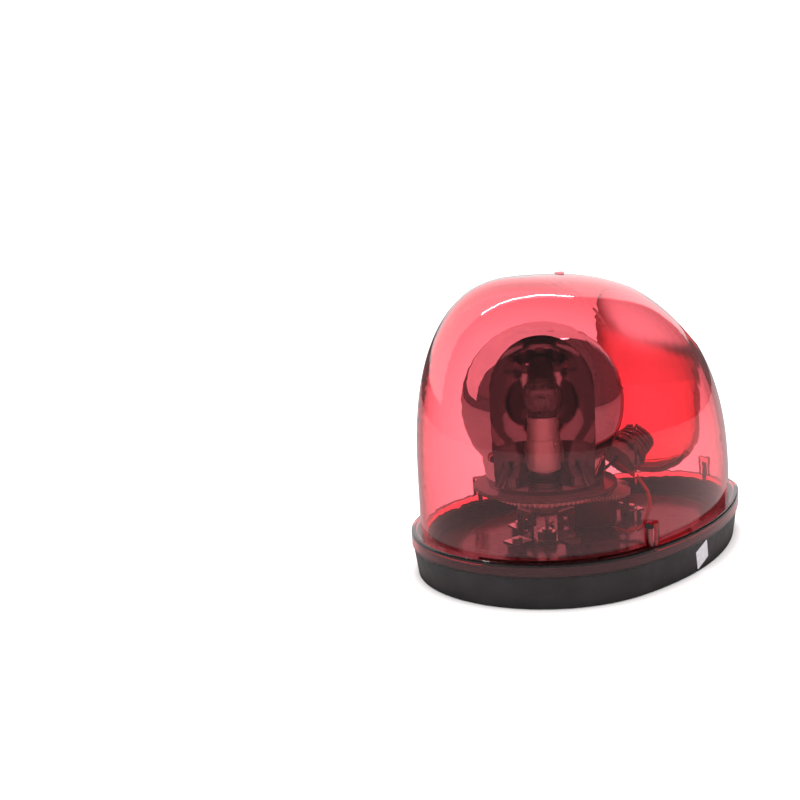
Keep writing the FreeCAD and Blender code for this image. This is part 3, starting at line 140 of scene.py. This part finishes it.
BALL_CENTRE = (0.0, LAMP_Y, 0.0795)   # reflector's ball
BALL_RADIUS = 0.038
BALL_SKIN = 0.0006                    # depth at which the ball's inside begins
BALL_FADE = 0.0004
WELL_CENTRE = (0.0, 0.0725 + LAMP_Y)  # cord well in the dome's tail, and its matt rim
RIM_INNER, RIM_OUTER, RIM_LOWEST = 0.0213, 0.0246, 0.08
RIM_EDGE, RIM_RISE, RIM_MATT = 0.0004, 0.002, 0.3
DECK_HALF_WIDTH, DECK_HALF_LENGTH = 0.064, 0.0925
DECK_SMOOTH, DECK_GRAINED = 0.74, 0.79   # shares of those, where smooth turns to grained


# ---------------------------------------------------------------- materials
def plastic(name, dark, light, rough, grain=2600, grain_depth=0.00003, mottle=60, coat=0.0,
            specular=0.5):
    """Moulded plastic: faint mottling, sparkle-free fine grain and uneven gloss."""
    t = Tree(name)
    colour = t.blend(t.spread(t.noise(mottle, 5), 0, 1), dark, light)
    gloss = t.spread(t.noise(mottle * 3.1, 6, 0.65), rough[0], rough[1])
    normal = t.bump(t.noise(grain, 2), 0.35, grain_depth)
    made = t.shader(Base_Color=colour, Roughness=gloss, Normal=normal)
    made.inputs["Specular IOR Level"].default_value = specular
    made.inputs["Coat Weight"].default_value = coat
    made.inputs["Coat Roughness"].default_value = 0.25
    return t.finish(made.outputs[0])


def housing_black(name, dark, light):
    """Black moulding: grained satin outside; under the dome, a smooth deck painted a lighter
    mottled colour, a painted sheen in place of its gloss reflection.
    """
    t = Tree(name)
    place = t.node("ShaderNodeVectorMath", operation="LENGTH")
    t.feed(place.inputs[0], t.mapped(scale=(1 / DECK_HALF_WIDTH, 1 / DECK_HALF_LENGTH, 0)))
    inside = t.spread(place.outputs["Value"], 1, 0, DECK_SMOOTH, DECK_GRAINED)
    mottled = t.blend(t.spread(t.noise(60, 5), 0, 1), dark, light)
    # painted sheen: lighter mottled colour on the deck under the dome, standing in for its gloss
    # reflection
    painted_sheen = t.blend(t.spread(t.noise(90, 6, 0.65), 0, 1), rgb(0.06, 0.05, 0.052),
                    rgb(0.11, 0.09, 0.094))
    colour = t.blend(inside, mottled, painted_sheen)
    grained = t.spread(t.noise(190, 6, 0.65), 0.4, 0.54)
    smooth = t.spread(t.noise(90, 4), 0.1, 0.2)
    gloss = t.maths("ADD", t.maths("MULTIPLY", inside, smooth),
                    t.maths("MULTIPLY", t.maths("SUBTRACT", 1.0, inside), grained))
    normal = t.bump(t.noise(2400, 2), 0.3, 0.00003)
    made = t.shader(Base_Color=colour, Roughness=gloss, Normal=normal)
    made.inputs["Specular IOR Level"].default_value = 0.42
    return t.finish(made.outputs[0])


def rubber(name, dark, light, rough=(0.62, 0.82)):
    """Rubber or soft PVC: dull, a little dusty and finely pebbled."""
    t = Tree(name)
    dust = t.maths("MULTIPLY", t.noise(240, 7, 0.7), t.noise(35, 3))
    colour = t.blend(t.spread(dust, 0, 1, 0.15, 0.45), dark, light)
    gloss = t.spread(t.noise(500, 4), rough[0], rough[1])
    normal = t.bump(t.noise(3200, 3), 0.5, 0.00004)
    made = t.shader(Base_Color=colour, Roughness=gloss, Normal=normal)
    made.inputs["Sheen Weight"].default_value = 0.08
    return t.finish(made.outputs[0])


def metal(name, dark, light, rough, brushed=(1, 1, 1), scale=320, depth=0.00002, bare=1.0):
    """Metal with brushed or rolled streaks that vary its colour and gloss."""
    t = Tree(name)
    streaks = t.noise(scale, 6, 0.6, vector=t.mapped(scale=brushed))
    stain = t.noise(45, 4, 0.6)
    colour = t.blend(t.spread(stain, 0, 1), dark, light)
    gloss = t.spread(t.maths("ADD", t.maths("MULTIPLY", streaks, 0.6),
                             t.maths("MULTIPLY", stain, 0.4)), rough[0], rough[1])
    normal = t.bump(streaks, 0.25, depth)
    made = t.shader(Base_Color=colour, Roughness=gloss, Normal=normal)
    made.inputs["Metallic"].default_value = bare
    return t.finish(made.outputs[0])


def chrome(name, dark, light, rough=(0.025, 0.07), wave=0.00016):
    """Vacuum-metallised plastic: a mirror with slow waves of the moulding and faint haze.

    Inside the ball the colour is darker and faintly pink, painted shade in its hollow; the gloss
    there is a little duller.
    """
    t = Tree(name)
    haze = t.noise(70, 6, 0.65)
    reach = t.node("ShaderNodeVectorMath", operation="DISTANCE")
    t.feed(reach.inputs[0], t.coordinates)
    reach.inputs[1].default_value = BALL_CENTRE
    inside = t.spread(reach.outputs["Value"], 1, 0, BALL_RADIUS - BALL_SKIN - BALL_FADE,
                      BALL_RADIUS - BALL_SKIN)
    outer = t.blend(t.spread(haze, 0, 1), dark, light)
    # painted shade: darker, faintly pink metal inside the ball
    colour = t.blend(inside, outer, rgb(0.7, 0.66, 0.67))
    gloss = t.maths("ADD", t.spread(haze, rough[0], rough[1]), t.maths("MULTIPLY", inside, 0.03))
    slow = t.bump(t.noise(38, 2, 0.4), 0.6, wave)
    normal = t.bump(t.noise(1500, 2), 0.12, 0.00001, normal=slow)
    made = t.shader(Base_Color=colour, Roughness=gloss, Normal=normal)
    made.inputs["Metallic"].default_value = 1.0
    return t.finish(made.outputs[0])


def clear(name, tint, rough, ior, density=0.0, absorb=(1, 1, 1, 1), wave=0.0, shadow=None,
          clearness=1.0, rim=None):
    """Clear plastic or glass that lets lamps through, tinted in its depth.

    The rim is a ring round a centre, above a level, left matt by the mould.
    """
    t = Tree(name)
    haze = t.noise(55, 5, 0.6)
    gloss = t.spread(haze, rough[0], rough[1])
    if rim:
        reach = t.node("ShaderNodeVectorMath", operation="LENGTH")
        t.feed(reach.inputs[0], t.mapped((1, 1, 0), (-rim[0], -rim[1], 0)))
        beyond = t.spread(reach.outputs["Value"], 0, 1, RIM_INNER, RIM_INNER + RIM_EDGE)
        within = t.spread(reach.outputs["Value"], 1, 0, RIM_OUTER - RIM_EDGE, RIM_OUTER)
        ring = t.maths("MULTIPLY", beyond, within)
        level = t.node("ShaderNodeSeparateXYZ")
        t.feed(level.inputs[0], t.coordinates)
        above = t.spread(level.outputs["Z"], 0, 1, RIM_LOWEST, RIM_LOWEST + RIM_RISE)
        matt = t.maths("MULTIPLY", t.maths("MULTIPLY", ring, above), RIM_MATT)
        gloss = t.maths("ADD", gloss, matt)
    normal = t.bump(t.noise(26, 2, 0.4), 0.5, wave)
    made = t.shader(Roughness=gloss, Normal=normal)
    made.inputs["Base Color"].default_value = tint
    made.inputs["Transmission Weight"].default_value = clearness
    made.inputs["IOR"].default_value = ior
    through = t.node("ShaderNodeBsdfTransparent")
    through.inputs["Color"].default_value = shadow or tint
    path = t.node("ShaderNodeLightPath")
    mix = t.node("ShaderNodeMixShader")
    t.feed(mix.inputs[0], path.outputs["Is Shadow Ray"])
    t.feed(mix.inputs[1], made.outputs[0])
    t.feed(mix.inputs[2], through.outputs[0])
    volume = None
    if density:
        depth = t.node("ShaderNodeVolumeAbsorption")
        depth.inputs["Color"].default_value = absorb
        depth.inputs["Density"].default_value = density
        volume = depth.outputs[0]
    return t.finish(mix.outputs[0], volume)


RED_CLEAR = clear("dome_red_clear", rgb(1.0, 0.96, 0.965), (0.012, 0.035), 1.58, density=385.0,
                  absorb=(0.992, 0.16, 0.26, 1), wave=0.00006, shadow=(0.97, 0.48, 0.54, 1),
                  rim=WELL_CENTRE)
LAMP_CLEAR = clear("lamp_clear_glass", rgb(0.985, 0.99, 0.985), (0.0, 0.03), 1.5,
                   shadow=(0.95, 0.95, 0.95, 1), clearness=0.95)
STEM_CLEAR = clear("lamp_stem_glass", rgb(0.9, 0.93, 0.9), (0.02, 0.12), 1.5,
                   shadow=(0.85, 0.85, 0.85, 1))
HOUSING = housing_black("housing_black_satin", rgb(0.012, 0.011, 0.012), rgb(0.02, 0.018, 0.02))
MOTOR_PLASTIC = plastic("motor_black_moulding", rgb(0.012, 0.012, 0.012), rgb(0.03, 0.03, 0.03),
                        (0.4, 0.6))
ACETAL = plastic("gear_natural_acetal", rgb(0.66, 0.63, 0.55), rgb(0.76, 0.73, 0.66),
                 (0.3, 0.45), grain=900)
ACETAL_GREY = plastic("gear_grey_acetal", rgb(0.36, 0.36, 0.34), rgb(0.46, 0.46, 0.44),
                      (0.32, 0.48), grain=900)
FIBRE = plastic("fibre_washer", rgb(0.26, 0.1, 0.05), rgb(0.38, 0.17, 0.08), (0.6, 0.8), 1800)
BLACK_GLASS = plastic("black_glassy", rgb(0.008, 0.008, 0.009), rgb(0.015, 0.015, 0.016),
                      (0.08, 0.2), coat=0.6)
SEAL = rubber("seal_foam", rgb(0.018, 0.018, 0.018), rgb(0.035, 0.035, 0.035))
PAD = rubber("pad_rubber_matt", rgb(0.014, 0.014, 0.015), rgb(0.04, 0.038, 0.036))
GLAND = rubber("gland_rubber_matt", rgb(0.2, 0.165, 0.17), rgb(0.34, 0.29, 0.3), (0.25, 0.45))
LEAD_RED = rubber("lead_red_pvc", rgb(0.36, 0.012, 0.014), rgb(0.5, 0.03, 0.03), (0.35, 0.5))
LEAD_BLACK = rubber("lead_black_pvc", rgb(0.014, 0.014, 0.014), rgb(0.03, 0.03, 0.03), (0.35, 0.5))
LEAD_WHITE = rubber("lead_white_pvc", rgb(0.6, 0.59, 0.56), rgb(0.74, 0.73, 0.7), (0.35, 0.5))
CHROME = chrome("reflector_metallised", rgb(0.72, 0.72, 0.73), rgb(0.86, 0.86, 0.87))
TURNTABLE = plastic("turntable_dark_gloss", rgb(0.06, 0.055, 0.056), rgb(0.1, 0.09, 0.092),
                    (0.1, 0.22), grain=1200, grain_depth=0.00001)
ZINC_SHEET = metal("bracket_zinc_sheet", rgb(0.56, 0.56, 0.56), rgb(0.72, 0.72, 0.71), (0.16, 0.34),
                   brushed=(1, 0.12, 1))
ZINC = metal("screw_zinc", rgb(0.46, 0.45, 0.4), rgb(0.62, 0.61, 0.56), (0.22, 0.4))
TURNED = metal("post_turned_steel", rgb(0.46, 0.46, 0.47), rgb(0.6, 0.6, 0.61), (0.16, 0.3),
               brushed=(0.2, 0.2, 5), scale=600)
SPRING = metal("spring_steel", rgb(0.16, 0.16, 0.17), rgb(0.26, 0.26, 0.27), (0.25, 0.42))
BRONZE = metal("sintered_bronze", rgb(0.34, 0.2, 0.09), rgb(0.46, 0.28, 0.13), (0.35, 0.5),
               scale=1500)
BRASS = metal("contact_brass", rgb(0.6, 0.42, 0.15), rgb(0.74, 0.54, 0.22), (0.18, 0.32))
NICKEL = metal("cap_nickel_plate", rgb(0.8, 0.76, 0.7), rgb(0.9, 0.87, 0.82), (0.34, 0.5),
               brushed=(1, 1, 0.15), bare=0.45)
HOLDER = metal("holder_nickel_plate", rgb(0.76, 0.74, 0.68), rgb(0.88, 0.86, 0.8), (0.32, 0.46),
               brushed=(1, 1, 0.15), bare=0.45)
SOLDER = metal("solder_dome", rgb(0.5, 0.5, 0.5), rgb(0.68, 0.68, 0.68), (0.25, 0.45), scale=900)
TUNGSTEN = metal("tungsten_wire", rgb(0.2, 0.2, 0.21), rgb(0.32, 0.32, 0.33), (0.3, 0.45),
                 scale=1500)
CAN = metal("motor_zinc_can", rgb(0.38, 0.38, 0.38), rgb(0.5, 0.5, 0.5), (0.24, 0.42),
            brushed=(1, 1, 0.1))
IRON = metal("armature_laminations", rgb(0.1, 0.1, 0.1), rgb(0.2, 0.19, 0.18), (0.4, 0.6),
             brushed=(0.05, 0.05, 9), scale=700)
FERRITE = plastic("magnet_ferrite", rgb(0.03, 0.03, 0.032), rgb(0.06, 0.06, 0.062), (0.5, 0.75),
                  grain=1600, grain_depth=0.00006)
CUP = metal("magnet_zinc_cup", rgb(0.5, 0.5, 0.5), rgb(0.64, 0.64, 0.63), (0.22, 0.4))

LOOKS = {
    "base_housing": HOUSING, "base_seal": SEAL, "dome": RED_CLEAR, "dome_screws": ZINC,
    "cable_gland": GLAND, "magnet_pad": PAD, "magnet_cup": CUP, "magnet_ring": FERRITE,
    "magnet_bolt": ZINC, "magnet_spacer": ZINC, "magnet_washer": ZINC, "magnet_nut": ZINC,
    "mechanism_bracket": ZINC_SHEET, "bracket_screws": ZINC, "lamp_post": TURNED,
    "post_nut": ZINC, "thrust_washer": FIBRE, "bearing_bush": BRONZE, "retaining_clip": SPRING,
    "drive_gear": ACETAL, "idler_gear": ACETAL_GREY, "idler_stud": TURNED, "idler_clip": SPRING,
    "motor_can": CAN, "motor_cap": MOTOR_PLASTIC, "motor_tags": BRASS, "motor_shaft": TURNED,
    "motor_armature": IRON, "motor_pinion": BRASS, "motor_screws": ZINC,
    "turntable": TURNTABLE, "reflector": CHROME, "rotor_screws": ZINC, "lamp_holder": HOLDER,
    "holder_base": HOLDER, "contact_plunger": BRASS, "contact_spring": SPRING,
    "lamp_cap": NICKEL, "bayonet_pins": NICKEL, "lamp_insulator": BLACK_GLASS,
    "lamp_contact": SOLDER, "lamp_globe": LAMP_CLEAR, "lamp_stem": STEM_CLEAR,
    "lamp_filament": TUNGSTEN, "supply_lead": LEAD_RED, "return_lead": LEAD_BLACK,
    "lamp_lead": LEAD_WHITE,
}
for node, look in LOOKS.items():
    mesh = NODES[node].data
    mesh.materials.clear()
    mesh.materials.append(look)

# ---------------------------------------------------------------- bare label on the housing
LABEL_CENTRE = Vector((0.0587, 0.0425 + LAMP_Y, 0.0079))
LABEL_OUT = Vector((0.96, 0.24, -0.13)).normalized()
LABEL_WIDTH, LABEL_HEIGHT, LABEL_LIFT, LABEL_THICKNESS = 0.0105, 0.0102, 0.00006, 0.00012
LABEL_LEAN = math.radians(22)
LABEL_COLUMNS, LABEL_ROWS = 12, 6
LABEL_START, LABEL_REACH = 0.01, 0.03   # ray from outside to the housing's wall
PAPER = plastic("label_white_paper", rgb(0.4, 0.385, 0.41), rgb(0.52, 0.5, 0.53), (0.5, 0.7),
                grain=5000, grain_depth=0.00002, mottle=400, specular=0.3)


def base_label():
    """A small blank sticker that follows the housing's curved wall."""
    wall = BVHTree.FromObject(NODES["base_housing"], bpy.context.evaluated_depsgraph_get())
    along = Vector((0, 0, 1)).cross(LABEL_OUT).normalized()
    up = LABEL_OUT.cross(along)
    turned_along = along * math.cos(LABEL_LEAN) + up * math.sin(LABEL_LEAN)
    turned_up = up * math.cos(LABEL_LEAN) - along * math.sin(LABEL_LEAN)
    columns, rows = LABEL_COLUMNS, LABEL_ROWS
    inner, outer = [], []
    for row in range(rows + 1):
        for column in range(columns + 1):
            across = (column / columns - 0.5) * LABEL_WIDTH
            rise = (row / rows - 0.5) * LABEL_HEIGHT
            start = LABEL_CENTRE + turned_along * across + turned_up * rise
            start += LABEL_OUT * LABEL_START
            hit = wall.ray_cast(start, -LABEL_OUT, LABEL_REACH)[0]
            inner.append(hit + LABEL_OUT * LABEL_LIFT)
            outer.append(hit + LABEL_OUT * (LABEL_LIFT + LABEL_THICKNESS))
    shift = len(inner)
    faces = []
    for row in range(rows):
        for column in range(columns):
            a = row * (columns + 1) + column
            b = a + columns + 1
            faces.append((a, b, b + 1, a + 1))
            faces.append((shift + a, shift + a + 1, shift + b + 1, shift + b))
    edge = list(range(columns + 1))
    edge += [row * (columns + 1) + columns for row in range(1, rows + 1)]
    edge += [rows * (columns + 1) + column for column in range(columns - 1, -1, -1)]
    edge += [row * (columns + 1) for row in range(rows - 1, 0, -1)]
    for here, there in zip(edge, edge[1:] + edge[:1]):
        faces.append((here, there, shift + there, shift + here))
    mesh = bpy.data.meshes.new("base_label")
    mesh.from_pydata(inner + outer, [], faces)
    mesh.materials.append(PAPER)
    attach(placed("base_label", mesh), "housing")


base_label()

# ---------------------------------------------------------------- floor, light and camera
BRIGHT, DIM = 1.6, 0.14              # surroundings seen straight, and by way of a mirror
PAPER_REACH = 0.85                   # how far from the beacon mirrors still see the paper
FLOOR_HALF = 40.0


def white(name, low, high):
    """White paper; mirrors see it only near the beacon, and dim surroundings further out."""
    t = Tree(name)
    colour = t.blend(t.spread(t.noise(3, 4), 0, 1), low, high)
    made = t.shader(Base_Color=colour)
    made.inputs["Roughness"].default_value = 0.9
    made.inputs["Specular IOR Level"].default_value = 0.1
    reach = t.node("ShaderNodeVectorMath", operation="LENGTH")
    t.feed(reach.inputs[0], t.coordinates)
    far = t.maths("GREATER_THAN", reach.outputs["Value"], PAPER_REACH)
    path = t.node("ShaderNodeLightPath")
    mirrored = t.maths("GREATER_THAN", path.outputs["Glossy Depth"], 0.5)
    dark = t.node("ShaderNodeEmission")
    dark.inputs["Strength"].default_value = DIM
    mix = t.node("ShaderNodeMixShader")
    t.feed(mix.inputs[0], t.maths("MULTIPLY", far, mirrored))
    t.feed(mix.inputs[1], made.outputs[0])
    t.feed(mix.inputs[2], dark.outputs[0])
    return t.finish(mix.outputs[0])


def panel(name, corners, look):
    """One flat four-cornered sheet that belongs to the stage."""
    mesh = bpy.data.meshes.new(name)
    mesh.from_pydata(corners, [], [(0, 1, 2, 3)])
    mesh.materials.append(look)
    placed(name, mesh)


panel("floor", [(-FLOOR_HALF, -FLOOR_HALF, 0), (FLOOR_HALF, -FLOOR_HALF, 0),
                (FLOOR_HALF, FLOOR_HALF, 0), (-FLOOR_HALF, FLOOR_HALF, 0)],
      white("floor_paper", rgb(0.86, 0.86, 0.86), rgb(0.9, 0.9, 0.9)))


def world():
    """White surroundings, dim for what reaches the eye by way of a mirror or a gloss."""
    made = bpy.data.worlds.new("studio")
    bpy.context.scene.world = made
    made.use_nodes = True
    tree = made.node_tree
    tree.nodes.clear()
    out = tree.nodes.new("ShaderNodeOutputWorld")
    path = tree.nodes.new("ShaderNodeLightPath")
    mirrored = tree.nodes.new("ShaderNodeMath")
    mirrored.operation = "GREATER_THAN"
    mirrored.inputs[1].default_value = 0.5
    bright = tree.nodes.new("ShaderNodeBackground")
    dim = tree.nodes.new("ShaderNodeBackground")
    mix = tree.nodes.new("ShaderNodeMixShader")
    bright.inputs["Color"].default_value = (1, 1, 1, 1)
    bright.inputs["Strength"].default_value = BRIGHT
    dim.inputs["Color"].default_value = (1, 1, 1, 1)
    dim.inputs["Strength"].default_value = DIM
    tree.links.new(path.outputs["Glossy Depth"], mirrored.inputs[0])
    tree.links.new(mirrored.outputs[0], mix.inputs[0])
    tree.links.new(bright.outputs[0], mix.inputs[1])
    tree.links.new(dim.outputs[0], mix.inputs[2])
    tree.links.new(mix.outputs[0], out.inputs["Surface"])


def lamp_look(name, strength):
    """Even white glow that isn't sampled as a lamp."""
    t = Tree(name)
    made = t.node("ShaderNodeEmission")
    made.inputs["Color"].default_value = (1, 1, 1, 1)
    made.inputs["Strength"].default_value = strength
    t.material.cycles.emission_sampling = "NONE"
    return t.finish(made.outputs[0])


def only_mirrored(made):
    """The tent is for reflections: it isn't seen straight, and lights nothing by itself."""
    made.visible_camera = False
    made.visible_diffuse = False
    made.visible_shadow = False
    return made


TENT_HEIGHT = 1.0                    # corners below are measured from the lamp's axis
TENT_EDGE = [(-1.537, -0.981), (-0.932, -0.700), (-0.647, -0.444), (-0.436, -0.249),
             (-0.287, -0.048), (-0.184, 0.175), (-0.134, 0.406), (-0.111, 0.600),
             (-0.134, 0.757), (-0.300, 1.271), (-0.492, 1.726), (-1.272, 3.320),
             (-2.301, 5.970), (-8.059, 22.0)]
TENT_FAR = [(-60.0, 22.0), (-60.0, -40.0)]
TENT_GLOW = 1.2
STRIP_BEADS = 9
STRIP_GLOW = 90.0
STRIP_FILL = 0.6                     # glowing share of each bead's length
STRIP_DROP = 0.01                    # how far the strip hangs under the tent
STRIP_ACROSS = (0.024, -0.014)


def tent():
    """White tent behind the beacon; its edge and the strip lamp along it show in the dome."""
    outline = [(x, y + LAMP_Y, TENT_HEIGHT) for x, y in TENT_EDGE + TENT_FAR]
    mesh = bpy.data.meshes.new("tent")
    mesh.from_pydata(outline, [], [tuple(range(len(outline)))])
    mesh.materials.append(lamp_look("tent_white", TENT_GLOW))
    only_mirrored(placed("tent", mesh))
    level = TENT_HEIGHT - STRIP_DROP
    corners, faces = [], []
    for start, end in zip(TENT_EDGE[2:8], TENT_EDGE[3:9]):
        for k in range(STRIP_BEADS):
            for share in (k / STRIP_BEADS, (k + STRIP_FILL) / STRIP_BEADS):
                x = start[0] + (end[0] - start[0]) * share
                y = start[1] + (end[1] - start[1]) * share + LAMP_Y
                corners += [(x, y, level), (x + STRIP_ACROSS[0], y + STRIP_ACROSS[1], level)]
            first = len(corners) - 4
            faces.append((first, first + 1, first + 3, first + 2))
    strip = bpy.data.meshes.new("strip")
    strip.from_pydata(corners, [], faces)
    strip.materials.append(lamp_look("strip_white", STRIP_GLOW))
    only_mirrored(placed("strip", strip))


def area_light(name, place, target, width, height, power):
    """Soft lamp aimed at a target, left out of mirrors and clear plastic."""
    data = bpy.data.lights.new(name, "AREA")
    data.shape = "RECTANGLE"
    data.size = width
    data.size_y = height
    data.energy = power
    made = placed(name, data)
    made.location = place
    made.rotation_euler = (Vector(target) - Vector(place)).to_track_quat("-Z", "Y").to_euler()
    made.visible_glossy = False
    made.visible_transmission = False


world()
tent()
area_light("high_key", (-0.15, 0.1, 1.3), (0, 0, 0.05), 0.5, 0.9, 10.0)


CAMERA_TURN, CAMERA_RISE, CAMERA_REACH = 48.06, 18.54, 0.6
CAMERA_PAN, CAMERA_TILT, CAMERA_ROLL = -6.67, 7.78, -1.37
CAMERA_LENS, CAMERA_SENSOR, CAMERA_NEAR = 55.07, 36.0, 0.01


def camera():
    """Camera at the measured viewing angle, aimed with its own small pan, tilt and roll."""
    turn, rise = math.radians(CAMERA_TURN), math.radians(CAMERA_RISE)
    pan, tilt, roll = (math.radians(angle) for angle in (CAMERA_PAN, CAMERA_TILT, CAMERA_ROLL))
    back = Vector((math.sin(turn) * math.cos(rise), -math.cos(turn) * math.cos(rise),
                   math.sin(rise)))
    right = Vector((math.cos(turn), math.sin(turn), 0))
    up = back.cross(right)
    place = back * CAMERA_REACH + Vector((0, LAMP_Y, 0))
    right, back = (right * math.cos(pan) + back * math.sin(pan),
                   back * math.cos(pan) - right * math.sin(pan))
    up, back = (up * math.cos(tilt) + back * math.sin(tilt),
                back * math.cos(tilt) - up * math.sin(tilt))
    right, up = (right * math.cos(roll) + up * math.sin(roll),
                 up * math.cos(roll) - right * math.sin(roll))
    data = bpy.data.cameras.new("camera")
    data.lens = CAMERA_LENS
    data.sensor_width = CAMERA_SENSOR
    data.clip_start = CAMERA_NEAR
    made = placed("camera", data)
    axes = Matrix((right, up, back)).transposed()
    made.matrix_world = Matrix.Translation(place) @ axes.to_4x4()
    bpy.context.scene.camera = made


camera()
CLEAR_BOUNCES, GLOSSY_BOUNCES, DIFFUSE_BOUNCES = 24, 8, 4
settings = bpy.context.scene
settings.view_settings.view_transform = "Standard"
settings.cycles.max_bounces = CLEAR_BOUNCES
settings.cycles.transmission_bounces = CLEAR_BOUNCES
settings.cycles.transparent_max_bounces = CLEAR_BOUNCES
settings.cycles.glossy_bounces = GLOSSY_BOUNCES
settings.cycles.diffuse_bounces = DIFFUSE_BOUNCES
